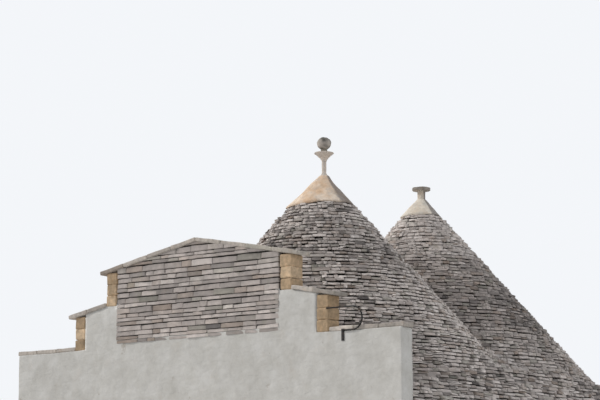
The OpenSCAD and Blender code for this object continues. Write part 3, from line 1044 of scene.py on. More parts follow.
@dataclass
class ConeRoof(Part):
    """One dry-stone cone: rings of slabs over a filling that is near-black as painted shade.

    Its tones are pairs of a height and the stones' usual tone there. On its low side it is fuller, more
    so from a height up to the cap.
    """

    yard: SlabYard
    name: str
    side: int
    seed: int
    tones: Marks
    fill: float
    spread: float
    out: float
    length: float
    fuller: float = 0.0
    fuller_z: float = 4.4
    small_r: float = 1.2
    small_share: float = 0.85
    overlap: float = 0.06
    behind: float = 0.13

    @property
    def axis_x(self) -> float:
        """The axis's place along the house."""
        return self.side * HOUSE.axis

    def ring(self, radius: float) -> list[Vector]:
        """Draws the line of one course, from the valley round to the valley, or right round above it.

        Args:
            radius: the course's radius.

        Returns:
            The line's points, anticlockwise.
        """
        reach = HOUSE.axis + self.overlap
        valley = math.acos(reach / radius) if radius > reach else 0.0
        start = valley if self.side < 0 else math.pi + valley
        sweep = math.tau - 2 * valley
        steps = max(24, int(sweep * radius / 0.06))
        angles = [start + sweep * i / steps for i in range(steps + 1)]
        return [Vector((max(self.axis_x + radius * math.cos(angle), HOUSE.parapet_x),
                        radius * math.sin(angle), 0.0)) for angle in angles]

    def build(self) -> None:
        """Lays the cone and its filling."""
        node = f"{self.name}_cone_roof"
        cap_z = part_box(node)[1].z
        work = Masonry(random.Random(self.seed), self.yard, fill=self.fill, spread=self.spread, out=self.out)
        for z, height in heights(HOUSE.skirt_z, cap_z):
            radius = HOUSE.cone_r(z + height * 0.5)
            work.fuller = LOW_SIDE * self.fuller * max(0.0, (z - self.fuller_z) / (cap_z - self.fuller_z))
            work.tone = between(self.tones, z)
            share = 1.0 if radius > self.small_r else self.small_share
            work.run(self.ring(radius), z, height, self.length * share)
        self.palette.dress(work.bm, f"{self.name}_cone_slabs", Slot.ROOF, [node])
        bm = bmesh.new()
        low_r, high_r = (HOUSE.cone_r(z) - self.behind for z in (HOUSE.skirt_z, cap_z))
        bmesh.ops.create_cone(bm, cap_ends=True, segments=64, radius1=low_r, radius2=high_r,
                              depth=cap_z - HOUSE.skirt_z)
        bmesh.ops.translate(bm, vec=(self.axis_x, 0.0, (cap_z + HOUSE.skirt_z) / 2), verts=bm.verts)
        if self.side < 0:
            cut(bm, (HOUSE.parapet_x, 0.0, 0.0), (-1.0, 0.0, 0.0), off=True)
        self.palette.dress(bm, f"{self.name}_cone_filling", Slot.ROOF, (), 30.0, [self.palette.core])


@dataclass
class SkirtRoof(Part):
    """The straight skirt that both cones run down into, and the rubble in the foot of their valley."""

    yard: SlabYard
    tone: float = 0.68
    fill: float = 0.79
    spread: float = 0.28
    length: float = 0.18
    rubble_length: float = 0.20
    rubble_rise: float = 0.5
    rubble_slope: float = 1.86
    core_share_x: float = 0.985
    core_share_y: float = 0.955
    core_drop: float = 0.05

    def outline(self, z: float) -> list[Vector]:
        """Draws the skirt's face at a height.

        Args:
            z: the height.

        Returns:
            Its points, anticlockwise from the coped wall's front to its back.
        """
        share = (z - HOUSE.eaves_z) / (HOUSE.skirt_z - HOUSE.eaves_z)
        half_x = (1 - share) * HOUSE.corner_x + share * HOUSE.axis
        half_y = (1 - share) * HOUSE.eaves_y
        radius = share * HOUSE.cone_r(HOUSE.skirt_z)
        points = []
        for quarter, (side_x, side_y) in enumerate(((-1, -1), (1, -1), (1, 1), (-1, 1))):
            for i in range(31):
                angle = math.pi + (quarter + i / 30) * math.pi / 2
                x, y = side_x * half_x + radius * math.cos(angle), side_y * half_y + radius * math.sin(angle)
                points.append(Vector((x, y, 0.0)))
        return points

    def runs(self, z: float) -> list[list[Vector]]:
        """Splits the skirt's line at the coped wall and at the gable's corners.

        Args:
            z: the line's height.

        Returns:
            The points of each run, the front's first.
        """
        line = self.outline(z)
        dense = []
        for low, high in zip(line, line[1:]):
            count = max(1, int((high - low).length / 0.08))
            dense += [low.lerp(high, i / count) for i in range(count)]
        dense = [p for p in dense if p.x > HOUSE.parapet_x]
        front = [p for p in dense if p.y < 0 and p.x < HOUSE.gable_x]
        back = [p for p in dense if p.y >= 0 and p.x < HOUSE.gable_x]
        if all(p.x < HOUSE.gable_x for p in dense):
            return [[*front, back[0]], back]
        low, high = (Vector((HOUSE.gable_x, end.y, 0.0)) for end in (front[-1], back[0]))
        gable = [low.lerp(high, i / 40) for i in range(41)]
        return [[*front, low], [high, *back], gable[:21], gable[20:]]

    def rubble(self, works: dict[int, Masonry]) -> None:
        """Fills the foot of the valley on both sides.

        Args:
            works: the masonry of each side.
        """
        for z, height in heights(HOUSE.skirt_z, HOUSE.skirt_z + self.rubble_rise):
            radius = HOUSE.cone_r(z + height * 0.5)
            front = HOUSE.cone_r(HOUSE.skirt_z) - self.rubble_slope * (z - HOUSE.skirt_z)
            half = HOUSE.axis - math.sqrt(max(0.0, radius**2 - front**2))
            if half <= 0.08:
                continue
            for side, work in works.items():
                start, end = (Vector((turn * half * side, side * front, 0.0)) for turn in (1, -1))
                work.run([start.lerp(end, i / 12) for i in range(13)], z, height, self.rubble_length)

    def build(self) -> None:
        """Lays the front and back skirts and the valley's rubble, over fillings that follow the nodes."""
        rng = random.Random(61)
        works = {side: Masonry(rng, self.yard, self.tone, self.fill, spread=self.spread) for side in (-1, 1)}
        for z, height in heights(HOUSE.eaves_z, HOUSE.skirt_z):
            for points in self.runs(z + height * 0.5):
                if len(points) > 1:
                    work = works[-1 if points[len(points) // 2].y < 0 else 1]
                    work.run(points, z, height, self.length)
        self.rubble(works)
        for work, label in zip(works.values(), ("front", "back")):
            node = f"{label}_roof_skirt"
            self.palette.dress(work.bm, f"{label}_skirt_slabs", Slot.ROOF, [node])
            bm = node_copy(node)
            for vert in bm.verts:
                x, y, z = vert.co
                x = max(x * self.core_share_x, HOUSE.parapet_x)
                vert.co = (x, y * self.core_share_y, z - self.core_drop)
            self.palette.dress(bm, f"{label}_skirt_filling", Slot.ROOF, materials=[self.palette.core])


@dataclass
class Eaves(Part):
    """Large slabs that stand out along both eaves."""

    depth: float = 0.62
    thick: float = 0.06
    shortest: float = 0.38
    longest: float = 0.72
    joint: float = 0.012

    def build(self) -> None:
        """Lays the slabs of the front and back eaves."""
        for side, label in ((-1, "front"), (1, "back")):
            rng = random.Random(70 + side)
            work = Masonry(rng)
            for x, length in stretches(HOUSE.parapet_x, HOUSE.gable_x, 0.35,
                                       lambda: rng.uniform(self.shortest, self.longest)):
                depth = self.depth + rng.uniform(-0.03, 0.0)
                shape = block(rng, (length - self.joint, depth, self.thick - 0.004), 0.010, 0.006, 2)
                y = side * (HOUSE.eaves_y + rng.uniform(-0.02, 0.02) - depth / 2)
                tilt = Euler((rng.gauss(0.0, 0.01), rng.gauss(0.0, 0.006), rng.gauss(0.0, 0.012)))
                middle = (x + length / 2, y, HOUSE.eaves_z - self.thick / 2)
                work.put(shape, middle, unit(rng.gauss(0.55, 0.18)), rng.random(), tilt.to_matrix().to_4x4())
            self.palette.dress(work.bm, f"{label}_eaves_course", Slot.ROOF, [f"{label}_eaves_slabs"])


@dataclass
class PlasterCap(Part):
    """A plaster cap whose foot was drawn down further on one side, with a thin drip edge."""

    name: str
    axis_x: float
    droop: float
    proud: float
    lean: float
    flare: float
    edge: float = 0.026
    skirt: float = 0.30
    steps: int = 16

    def foot_drop(self, turn: Vector) -> float:
        """Measures how far down the slabs the foot reaches.

        Args:
            turn: the direction from the axis.

        Returns:
            The drop.
        """
        uneven = noise.noise(Vector((turn.x * 2.4, turn.y * 2.4, self.axis_x)))
        nibble = noise.noise(Vector((turn.x * 9.0, turn.y * 9.0, self.axis_x)))
        return self.droop * max(0.0, turn.dot(LOW_SIDE)) ** 1.5 + 0.012 * (uneven + 0.4) + 0.005 * nibble

    def profile(self, foot_z: float, top_z: float) -> Marks:
        """Draws the cap's outline.

        Args:
            foot_z: the height of its foot.
            top_z: the height of its top.

        Returns:
            Radius and height, from the foot on the axis to the top on the axis.
        """
        foot_r, top_r = HOUSE.cone_r(foot_z), HOUSE.cone_r(top_z)
        wide, lip_z = foot_r + self.proud, foot_z + self.edge
        points = [(0.0, foot_z), (foot_r - 0.03, foot_z), (wide - 0.006, foot_z + 0.001),
                  (wide, foot_z + 0.009), (wide, lip_z - 0.006)]
        for i in range(self.steps + 1):
            up = i / self.steps
            radius = top_r + (foot_r - top_r) * (1 - up) + self.proud * (1 - up) ** 1.5
            points.append((radius, lip_z + (top_z - lip_z) * up))
        return [*points, (0.0, top_z)]

    def build(self) -> None:
        """Spins the cap, draws its foot down the slope and works its surface."""
        node = f"{self.name}_plaster_cap"
        foot_z, top_z = (corner.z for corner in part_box(node))
        bm = spin_profile(self.profile(foot_z, top_z), self.axis_x, 96)
        ripple(bm, 0.28, 0.012, self.axis_x)
        ripple(bm, 0.07, 0.004, 3.0)
        for vert in bm.verts:
            vert.co += LOW_SIDE * self.lean * min(1.0, (top_z - vert.co.z) / 0.15)
            radial = Vector((vert.co.x - self.axis_x, vert.co.y, 0.0))
            near_foot = max(0.0, 1.0 - (vert.co.z - foot_z) / self.skirt)
            if radial.length > HOUSE.cone_r(foot_z) * 0.3 and near_foot > 0.0:
                turn = radial.normalized()
                drop = near_foot * self.foot_drop(turn)
                vert.co -= UP * drop
                vert.co += turn * (drop * HOUSE.spread + self.flare * near_foot * max(0.0, drop) / self.droop)
        plaster = self.palette.plasters[self.name]
        self.palette.dress(bm, f"{self.name}_cap", Slot.PLASTER, [node], 35.0, [plaster])


@dataclass
class Turned(Part):
    """A turned part of a pinnacle, weathered. Its tone follows from the share of its height."""

    cone: str
    kind: str
    profile: Marks
    wear: float
    slot: Slot = Slot.PLASTER
    tone: Callable[[float], float] = lambda share: 0.55

    def build(self) -> None:
        """Spins the part and pits its surface."""
        main = self.cone == "main"
        axis_x = -HOUSE.axis if main else HOUSE.axis
        bm = spin_profile(self.profile, axis_x, 48)
        ripple(bm, 0.06, self.wear, axis_x + 2.0)
        ripple(bm, 0.02, self.wear * 0.5, 9.0)
        foot, top = self.profile[0][1], self.profile[-1][1]
        tone, tint, rim = (bm.verts.layers.float.new(label) for label in ("tone", "tint", "rim"))
        for vert in bm.verts:
            share = (vert.co.z - foot) / (top - foot)
            vert[tone] = unit(self.tone(share) + 0.5 * noise.noise(vert.co / 0.09))
            vert[tint], vert[rim] = 0.5, 1.0
        plaster = [self.palette.plasters["pinnacle" if main else "second"]]
        name, node = (self.cone + label + self.kind for label in ("_", "_pinnacle_"))
        self.palette.dress(bm, name, self.slot, [node], 40.0, plaster if self.slot is Slot.PLASTER else ())


@dataclass
class Pinnacles(Part):
    """The ball on its bowl and shaft over the main cone, and the disc on its stub over the second.

    Each outline is drawn between two heights, as radius and height, from the foot on the axis to the top
    on the axis.
    """

    shaft_r: float = 0.044
    root_r: float = 0.051
    root_h: float = 0.08
    bowl_r: float = 0.187
    neck_r: float = 0.062
    neck_h: float = 0.068
    ball_r: float = 0.136
    ball_top_r: float = 0.052
    stub_r: float = 0.080
    disc_r: float = 0.186

    def shaft(self, foot: float, top: float) -> Marks:
        """Draws the shaft, which widens at its root.

        Args:
            foot: the height of its foot.
            top: the height of its top.

        Returns:
            Its outline.
        """
        root = [(self.shaft_r + self.root_r * (1 - i / 10) ** 2, foot + self.root_h * i / 10)
                for i in range(11)]
        above = [(self.shaft_r, foot + self.root_h + 0.05 * i) for i in range(1, 4)]
        return [(0.0, foot), *root, *above, (self.shaft_r, top), (0.0, top)]

    def bowl(self, foot: float, top: float) -> Marks:
        """Draws the bowl, with a rounded lip and the neck that carries the ball.

        Args:
            foot: the height of its foot.
            top: the height of its top.

        Returns:
            Its outline.
        """
        lip, wide = top - self.neck_h, self.bowl_r
        grow, rise = wide - self.shaft_r - 0.002, lip - 0.020 - foot
        side = [(self.shaft_r + grow * (i / 14) ** 1.6, foot + rise * i / 14) for i in range(15)]
        return [(0.0, foot), *side, (wide, lip - 0.014), (wide, lip - 0.006), (wide - 0.007, lip),
                (0.12, lip + 0.002), (0.072, lip + 0.006), (self.neck_r, lip + 0.018), (0.060, lip + 0.045),
                (self.neck_r, top), (0.0, top)]

    def ball(self, foot: float, top: float) -> Marks:
        """Draws the ball, flat where it stands and at its top.

        Args:
            foot: the height of its foot.
            top: the height of its top.

        Returns:
            Its outline.
        """
        under, over = math.asin(self.neck_r / self.ball_r), math.asin(self.ball_top_r / self.ball_r)
        points = []
        for i in range(25):
            angle = under + (math.pi - under - over) * i / 24
            share = (math.cos(under) - math.cos(angle)) / (math.cos(under) + math.cos(over))
            points.append((self.ball_r * math.sin(angle), foot + (top - foot) * share))
        return [(0.0, foot), *points, (0.0, top)]

    def stub(self, foot: float, top: float) -> Marks:
        """Draws the stub under the disc."""
        return [(0.0, foot), *((self.stub_r, foot + 0.022 * i) for i in range(9)), (0.0, top)]

    def disc(self, foot: float, top: float) -> Marks:
        """Draws the disc, with worn arrises.

        Args:
            foot: the height of its foot.
            top: the height of its top.

        Returns:
            Its outline.
        """
        wide = self.disc_r
        return [(0.0, foot), (0.12, foot), (wide - 0.006, foot + 0.001), (wide - 0.001, foot + 0.006),
                (wide, foot + 0.022), (wide - 0.001, foot + 0.036), (wide, top - 0.006),
                (wide - 0.005, top - 0.001), (0.12, top), (0.0, top)]

    def build(self) -> None:
        """Builds every part to the heights of its CAD node."""
        shaft_z, stub_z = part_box("main_pinnacle_shaft")[0].z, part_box("second_pinnacle_stub")[0].z
        bowl_z, ball_z, disc_z = ([corner.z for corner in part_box(node)] for node in (
            "main_pinnacle_bowl", "main_pinnacle_ball", "second_pinnacle_disc"))
        for part in (
            Turned(self.palette, "main", "shaft", self.shaft(shaft_z, bowl_z[0]), 0.003),
            Turned(self.palette, "main", "bowl", self.bowl(*bowl_z), 0.005),
            # The ball is lighter round its middle: dark lichen on top, and painted shade underneath.
            Turned(self.palette, "main", "ball", self.ball(*ball_z), 0.006, Slot.CARVED,
                   lambda share: 0.12 + 0.62 * math.exp(-(((share - 0.42) / 0.26) ** 2))),
            Turned(self.palette, "second", "stub", self.stub(stub_z, disc_z[0]), 0.005),
            Turned(self.palette, "second", "disc", self.disc(*disc_z), 0.005, Slot.CARVED,
                   lambda share: 0.50 - 0.2 * share),
        ):
            part.build()


# Walls


@dataclass
class WallSkin(Part):
    """A limewashed wall: a copy of its CAD node with soft corners and a wavy hand-laid surface.

    One test picks the edges that are rounded, another the faces that stand back, bare of limewash and
    near-black as painted shade.
    """

    node: str
    rounds: Callable[[Vector, Vector], bool]
    bare: Callable[[Vector], bool] = lambda middle: False
    radius: float = 0.028
    step: float = 0.16
    sunk: float = 0.035

    def build(self) -> None:
        """Copies, rounds, cuts and warps the wall."""
        bm = node_copy(self.node)
        bmesh.ops.dissolve_limit(bm, angle_limit=0.02, verts=bm.verts, edges=bm.edges)
        sharp = [e for e in bm.edges if e.calc_face_angle(0.0) > 0.6]
        soften(bm, [e for e in sharp if self.rounds(e.verts[0].co, e.verts[1].co)], self.radius, 3)
        for axis, normal in enumerate(Matrix.Identity(3)):
            reach = [vert.co[axis] for vert in bm.verts]
            for k in range(math.floor(min(reach) / self.step) + 1, math.ceil(max(reach) / self.step)):
                cut(bm, normal * (k * self.step), normal)
        for face in bm.faces:
            face.material_index = int(self.bare(face.calc_center_median()))
        bm.normal_update()
        for vert in bm.verts:
            if all(face.material_index for face in vert.link_faces):
                vert.co -= vert.normal * self.sunk
            fade = min(1.0, vert.co.z / 0.1)
            vert.co += warp(vert.co, 0.9, 0.012) * fade + warp(vert.co, 0.33, 0.005) * fade
        # Faces that stand back take the near-black fill as painted shade.
        materials = [self.palette.laid[Slot.LIMEWASH], self.palette.core]
        self.palette.dress(bm, f"{self.node}_skin", Slot.LIMEWASH, [self.node], 50.0, materials)


@dataclass
class Walls(Part):
    """The limewashed outer walls."""

    end_x: float = 5.3
    shoulder_z: float = 3.4
    front_y: float = 4.3
    room_y: float = 3.4
    bare_z: float = 3.56

    def left(self, a: Vector, b: Vector) -> bool:
        """Whether an edge is an outer corner or a shoulder of the coped wall."""
        raised = min(a.z, b.z) > 0.01 or a.z != b.z
        return min(a.x, b.x) < -self.end_x and raised and max(a.z, b.z) < self.shoulder_z

    def right(self, a: Vector, b: Vector) -> bool:
        """Whether an edge is an outer corner of the right wall."""
        return min(a.x, b.x) > self.end_x and abs(a.z - b.z) > 0.5

    def front(self, a: Vector, b: Vector) -> bool:
        """Tells the arrises of the door and window holes, on both faces of a wall.

        Args:
            a: one end of an edge.
            b: its other end.

        Returns:
            Whether the edge is one of them.
        """
        level = abs(a.y - b.y) < 0.01 and any(abs(abs(a.y) - y) < 0.01 for y in (self.front_y, self.room_y))
        inside = all(0.01 < p.z < 2.0 and abs(p.x) < 4.5 for p in (a, b))
        jamb = abs(a.x - b.x) < 0.01 and 0.01 < max(a.z, b.z) <= 1.95 and abs(a.x) < 4.5
        return level and (inside or jamb)

    def bare(self, middle: Vector) -> bool:
        """Whether a face is one of the top step's two, where the dry stone stands before them; these get
        painted shade.
        """
        reach = 1.70 if middle.z < 4.14 else 1.86
        return middle.x < -5.0 and abs(middle.y) < reach and middle.z > self.bare_z

    def build(self) -> None:
        """Builds each wall's skin."""
        WallSkin(self.palette, "left_party_wall", self.left, self.bare).build()
        WallSkin(self.palette, "right_party_wall", self.right).build()
        for node in ("front_wall_left", "front_wall_right", "back_wall"):
            WallSkin(self.palette, node, self.front).build()


@dataclass
class Parapet(Part):
    """What crowns the coped wall: dry stone on its top step, coping slabs and ochre corner blocks."""

    outer_x: float = -5.35
    inner_x: float = HOUSE.parapet_x
    top_reach: float = 2.10
    step_reach: float = 2.86
    end_reach: float = 4.34
    top_z: float = 4.73
    step_z: float = 3.99
    shoulder_z: float = 3.38
    stones_z: float = 3.46
    stone_depth: float = 0.12
    course: float = 0.085
    quoin: float = 0.25
    quoins_high: int = 3
    fall: float = 0.19
    coping: float = 0.075
    coping_w: float = 0.38
    shoulder_w: float = 0.30
    overhang: float = 0.15

    @property
    def middle_x(self) -> float:
        """The middle of the wall's thickness."""
        return (self.outer_x + self.inner_x) / 2

    def top_line(self, y: float) -> float:
        """Height of the top step under its coping, at a place along the wall."""
        return self.top_z + self.fall * (self.top_reach - abs(y))

    def step_line(self, y: float) -> float:
        """Height of a middle step under its coping, at a place along the wall."""
        return self.step_z + self.fall * (self.step_reach - abs(y))

    def stones(self) -> None:
        """Courses of slabs on both faces of the top step."""
        rng = random.Random(31)
        work = Masonry(rng, SlabYard(8, 0.62), 0.50, loose=0.50, spread=0.15)
        for face_x, outward in ((self.outer_x, -1.0), (self.inner_x, 1.0)):
            for z, height in uneven_heights(rng, self.stones_z, self.top_line(0.0) + 0.03, self.course):
                reach = min(self.top_reach - self.quoin - 0.02, self.top_reach - (z - self.top_z) / self.fall)
                for y, length in stretches(-reach, reach, 0.16,
                                           lambda: min(0.62, max(0.18, rng.gauss(0.38, 0.11)))):
                    foot = Vector((face_x + outward * rng.uniform(0.008, 0.026), y + length / 2, z))
                    thick = height * rng.uniform(0.78, 0.90)
                    work.lay(foot, Vector((outward, 0.0, 0.0)), length - 0.004, self.stone_depth, thick)
        for side in (-1, 1):
            under = (0.0, side * self.top_reach, self.top_line(self.top_reach) + 0.015)
            cut(work.bm, under, (0.0, side * self.fall, 1.0), off=True)
        self.palette.dress(work.bm, "parapet_stones", Slot.ROOF)

    def slab_row(self, work: Masonry, ends: Sequence[float], line: Callable[[float], float],
                 width: float) -> None:
        """Lays coping slabs along the wall.

        Args:
            work: the masonry that they go into.
            ends: two places along the wall, in either order.
            line: the height that they lie on, at a place along the wall.
            width: their width.
        """
        rng = work.rng
        low_y, high_y = sorted(ends)
        count = max(1, round((high_y - low_y) / 0.5))
        marks = [low_y + (high_y - low_y) * i / count for i in range(count + 1)]
        for a, b in zip(marks, marks[1:]):
            rise = line(b) - line(a)
            length = math.hypot(b - a, rise) - 0.010
            shape = block(rng, (width - rng.uniform(0.0, 0.02), length, self.coping - 0.006), 0.012, 0.005, 2)
            x = self.middle_x + rng.uniform(-0.006, 0.006)
            middle = (x, (a + b) / 2, (line(a) + line(b) + self.coping) / 2)
            turn = Matrix.Rotation(math.atan2(rise, b - a), 4, "X")
            turn @= Matrix.Rotation(rng.gauss(0.0, 0.008), 4, "Y")
            work.put(shape, middle, unit(rng.gauss(0.6, 0.15)), rng.random(), turn)

    def copings(self) -> None:
        """The copings of the top step, of both middle steps and of both shoulders."""
        rng = random.Random(32)
        top, low = Masonry(rng), Masonry(rng)
        for side in (-1, 1):
            self.slab_row(top, (side * (self.top_reach + self.overhang), 0.0), self.top_line, self.coping_w)
        for side in (-1, 1):
            ends = (side * (self.step_reach + self.overhang), side * self.top_reach)
            self.slab_row(top, ends, self.step_line, self.coping_w)
            ends = (side * self.end_reach, side * self.step_reach)
            self.slab_row(low, ends, lambda y: self.shoulder_z, self.shoulder_w)
        self.palette.dress(top.bm, "parapet_coping_slabs", Slot.CARVED, ["parapet_coping"])
        self.palette.dress(low.bm, "shoulder_coping_slabs", Slot.CARVED, ["shoulder_copings"])

    def quoins(self) -> None:
        """Soft ochre blocks, eaten by the weather, stacked at the end of each step."""
        rng = random.Random(33)
        work = Masonry(rng)
        width = self.inner_x - self.outer_x + 0.012
        steps = ((self.step_reach, self.shoulder_z, self.step_line),
                 (self.top_reach, self.step_line(self.top_reach), self.top_line))
        for side, (reach, low_z, line) in product((-1, 1), steps):
            height = (line(reach) - low_z) / self.quoins_high
            for i in range(self.quoins_high):
                long = self.quoin - rng.uniform(0.0, 0.015)
                above = self.fall * 0.12 if i == self.quoins_high - 1 else 0.0
                shape = block(rng, (width, long, height - 0.008 + above), 0.018, 0.008, 1)
                middle = (self.middle_x, side * (reach - long / 2 + 0.003), low_z + height * (i + 0.5))
                work.put(shape, middle, rng.uniform(0.2, 0.9))
        self.palette.dress(work.bm, "parapet_corner_blocks", Slot.TUFA, ["parapet_quoins"])

    def build(self) -> None:
        """Builds all of it."""
        self.stones()
        self.copings()
        self.quoins()


# Joinery and iron


@dataclass
class Doorway(Part):
    """Lintel, worn threshold, frame and the plank door that stands open."""

    worn: float = 0.022
    jamb: float = 0.07
    planks: int = 5
    plank_t: float = 0.027
    ledge_t: float = 0.018
    ledge_h: float = 0.12
    ledges: Triple = (0.12, 0.50, 0.88)
    nail_r: float = 0.008
    nails_apart: float = 0.06
    iron_t: float = 0.006
    strap_l: float = 0.52
    strap_h: float = 0.038
    plate_w: float = 0.09
    plate_h: float = 0.16
    plate_in: float = 0.08
    plate_z: float = 0.95
    ring_r: float = 0.036

    def stones(self) -> None:
        """The lintel and the threshold, which feet have hollowed."""
        for node, worn in (("door_lintel", 0.0), ("door_threshold", self.worn)):
            low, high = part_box(node)
            bm = cuboid(high - low, (low + high) / 2)
            soften(bm, bm.edges, 0.014, 2)
            for k in range(1, 12):
                cut(bm, (low.x + (high.x - low.x) * k / 12, 0.0, 0.0), (1.0, 0.0, 0.0))
            for vert in bm.verts:
                share = (vert.co.x - low.x) / (high.x - low.x)
                if vert.co.z > (low.z + high.z) / 2:
                    vert.co.z -= worn * math.sin(math.pi * share) ** 2
                vert.co += warp(vert.co, 0.12, 0.003)
            material = self.palette.plain[Slot.CARVED]
            self.palette.dress(bm, f"{node}_stone", Slot.CARVED, [node], 40.0, [material])

    def frame(self) -> None:
        """Two jambs and a head, with softened edges."""
        rng = random.Random(41)
        low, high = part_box("door_frame")
        middle, size, jamb = (low + high) / 2, high - low, self.jamb
        work = Masonry(rng)
        for x in (low.x + jamb / 2, high.x - jamb / 2):
            post = block(rng, (jamb, size.y, size.z - jamb), 0.005, 0.001, 3)
            work.put(post, (x, middle.y, middle.z - jamb / 2), 0.5)
        head = block(rng, (size.x, size.y, jamb), 0.005, 0.001, 3)
        work.put(head, (middle.x, middle.y, high.z - jamb / 2), 0.5)
        self.palette.dress(work.bm, "door_frame_boards", Slot.TIMBER, ["door_frame"])

    def nail(self) -> Mesh:
        """Forges a nail's head.

        Returns:
            Its mesh.
        """
        bm = bmesh.new()
        bmesh.ops.create_uvsphere(bm, u_segments=8, v_segments=5, radius=self.nail_r, matrix=FLAT_NAIL)
        return to_mesh(bm, "nail")

    def ring(self) -> Mesh:
        """Bends the ring that the door is pulled by.

        Returns:
            Its mesh.
        """
        bm = bmesh.new()
        place = Matrix.Translation((self.ring_r, 0.0, 0.0))
        bmesh.ops.create_circle(bm, segments=8, radius=0.006, matrix=place)
        bmesh.ops.spin(bm, geom=bm.edges[:], cent=(0, 0, 0), axis=(0, 1, 0), angle=math.tau, steps=20,
                       use_merge=True)
        bmesh.ops.recalc_face_normals(bm, faces=bm.faces)
        return to_mesh(bm, "ring")

    def leaf(self) -> None:
        """Upright planks nailed to ledges, with strap hinges and a ring."""
        rng = random.Random(42)
        low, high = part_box("door_leaf")
        middle, size = (low + high) / 2, high - low
        wood, iron = Masonry(rng), Masonry(rng)
        width = size.y / self.planks
        rows = [low.y + width * (i + 0.5) for i in range(self.planks)]
        for y in rows:
            tall = size.z - rng.uniform(0.0, 0.008)
            plank = block(rng, (self.plank_t, width - 0.003, tall), 0.004, 0.0008, 4)
            wood.put(plank, (high.x - self.plank_t / 2, y, middle.z), rng.random())
        nail = self.nail()
        for share in self.ledges:
            z = low.z + size.z * share
            ledge = block(rng, (self.ledge_t, size.y - 0.04, self.ledge_h), 0.004, 0.001, 3)
            wood.put(ledge, (low.x + self.ledge_t / 2, middle.y, z), rng.random())
            for y, rise in product(rows, (-self.nails_apart / 2, self.nails_apart / 2)):
                iron.add(nail, Matrix.Translation((high.x - 0.001, y, z + rise)), 0.5)
        iron_x = high.x + self.iron_t / 2
        for share in (self.ledges[0], self.ledges[-1]):
            strap = block(rng, (self.iron_t, self.strap_l, self.strap_h), 0.002, 0.0008, 4)
            iron.put(strap, (iron_x, low.y + self.strap_l / 2 + 0.01, low.z + size.z * share), 0.5)
        plate = block(rng, (self.iron_t, self.plate_w, self.plate_h), 0.003, 0.001, 1)
        hold = Vector((iron_x, high.y - self.plate_in, low.z + self.plate_z))
        iron.put(plate, hold, 0.5)
        hung = hold + Vector((0.010, 0.0, -self.ring_r))
        iron.put(self.ring(), hung, 0.5, turn=Matrix.Rotation(math.pi / 2, 4, "Z"))
        self.palette.dress(wood.bm, "door_planks", Slot.TIMBER, ["door_leaf"])
        self.palette.dress(iron.bm, "door_ironwork", Slot.IRON)

    def build(self) -> None:
        """Builds all of it."""
        self.stones()
        self.frame()
        self.leaf()


@dataclass
class Windows(Part):
    """Stone surrounds and sills, and casements of moulded boards, for the three windows."""

    places: tuple[tuple[float, int], ...] = ((1.65, -1), (-1.65, 1), (1.65, 1))
    face_y: float = 4.30
    width: float = 0.50
    height: float = 0.62
    sill_z: float = 1.15
    sill_y: float = 4.105
    sill_d: float = 0.51
    sill_t: float = 0.045
    band: float = 0.11
    band_t: float = 0.044
    band_out: float = 0.010
    board: float = 0.05
    board_y: float = 3.88

    def bar(self, work: Masonry, at: tuple[float, int], middle: Triple, size: Triple, bevel: float,
            rough: float) -> None:
        """Adds one board or stone of a window.

        Args:
            work: the masonry that it goes into.
            at: the window's place along its wall, and the wall's side.
            middle: how far its middle lies from the window's axis and from the house's middle, and how high.
            size: its size.
            bevel: width of its softened arris.
            rough: how far it wanders.
        """
        shape = block(work.rng, size, bevel, rough, 2)
        x, side = at
        work.put(shape, (x + middle[0], side * middle[1], middle[2]), work.rng.uniform(0.3, 0.8))

    def build(self) -> None:
        """Builds the stones and boards of each window."""
        rng = random.Random(51)
        rims, sills, boards = Masonry(rng), Masonry(rng), Masonry(rng)
        wide, band, board = self.width / 2, self.band, self.board
        low, top = self.sill_z - self.sill_t, self.sill_z + self.height
        tall, stone_y = (top - low) / 2, self.face_y + self.band_out
        for at in self.places:
            for z in (top + band / 2, low - band / 2):
                self.bar(rims, at, (0.0, stone_y, z), (2 * (wide + band), self.band_t, band), 0.008, 0.002)
            for side, k in product((-1, 1), range(2)):
                middle = (side * (wide + band / 2), stone_y, low + tall * (k + 0.5))
                self.bar(rims, at, middle, (band, self.band_t, tall - 0.004), 0.008, 0.002)
            middle = (0.0, self.sill_y, self.sill_z - self.sill_t / 2)
            self.bar(sills, at, middle, (2 * wide, self.sill_d, self.sill_t), 0.010, 0.002)
            for x in (-wide + board / 2, 0.0, wide - board / 2):
                middle = (x, self.board_y, self.sill_z + self.height / 2)
                self.bar(boards, at, middle, (board, 0.06, self.height), 0.006, 0.001)
            for z, x in product((self.sill_z + board / 2, top - board / 2), (-wide / 2, wide / 2)):
                self.bar(boards, at, (x, self.board_y + 0.002, z), (wide - board, 0.05, board), 0.006, 0.001)
        self.palette.dress(rims.bm, "window_surround_stones", Slot.CARVED, ["window_surrounds"])
        self.palette.dress(sills.bm, "window_sill_stones", Slot.CARVED, ["window_sills"])
        self.palette.dress(boards.bm, "window_boards", Slot.TIMBER, ["window_frames"])


@dataclass
class Bracket(Part):
    """The forged curl on the coped wall, hammered and nailed through its plate."""

    thicker: float = 0.003
    nail_r: float = 0.011
    nail_in: float = 0.018
    nail_y: float = -3.155
    nails_z: tuple[float, float] = (3.245, 3.375)

    def build(self) -> None:
        """Copies the CAD node and roughens it."""
        bm = node_copy("iron_bracket")
        bm.normal_update()
        for vert in bm.verts:
            vert.co += vert.normal * self.thicker
        ripple(bm, 0.05, 0.0016)
        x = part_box("iron_bracket")[0].x + self.nail_in
        for z in self.nails_z:
            spot = Matrix.Translation((x, self.nail_y, z)) @ FLAT_NAIL
            bmesh.ops.create_uvsphere(bm, u_segments=10, v_segments=6, radius=self.nail_r, matrix=spot)
        self.palette.dress(bm, "iron_curl", Slot.IRON, ["iron_bracket"], 40.0)


# Stage and main


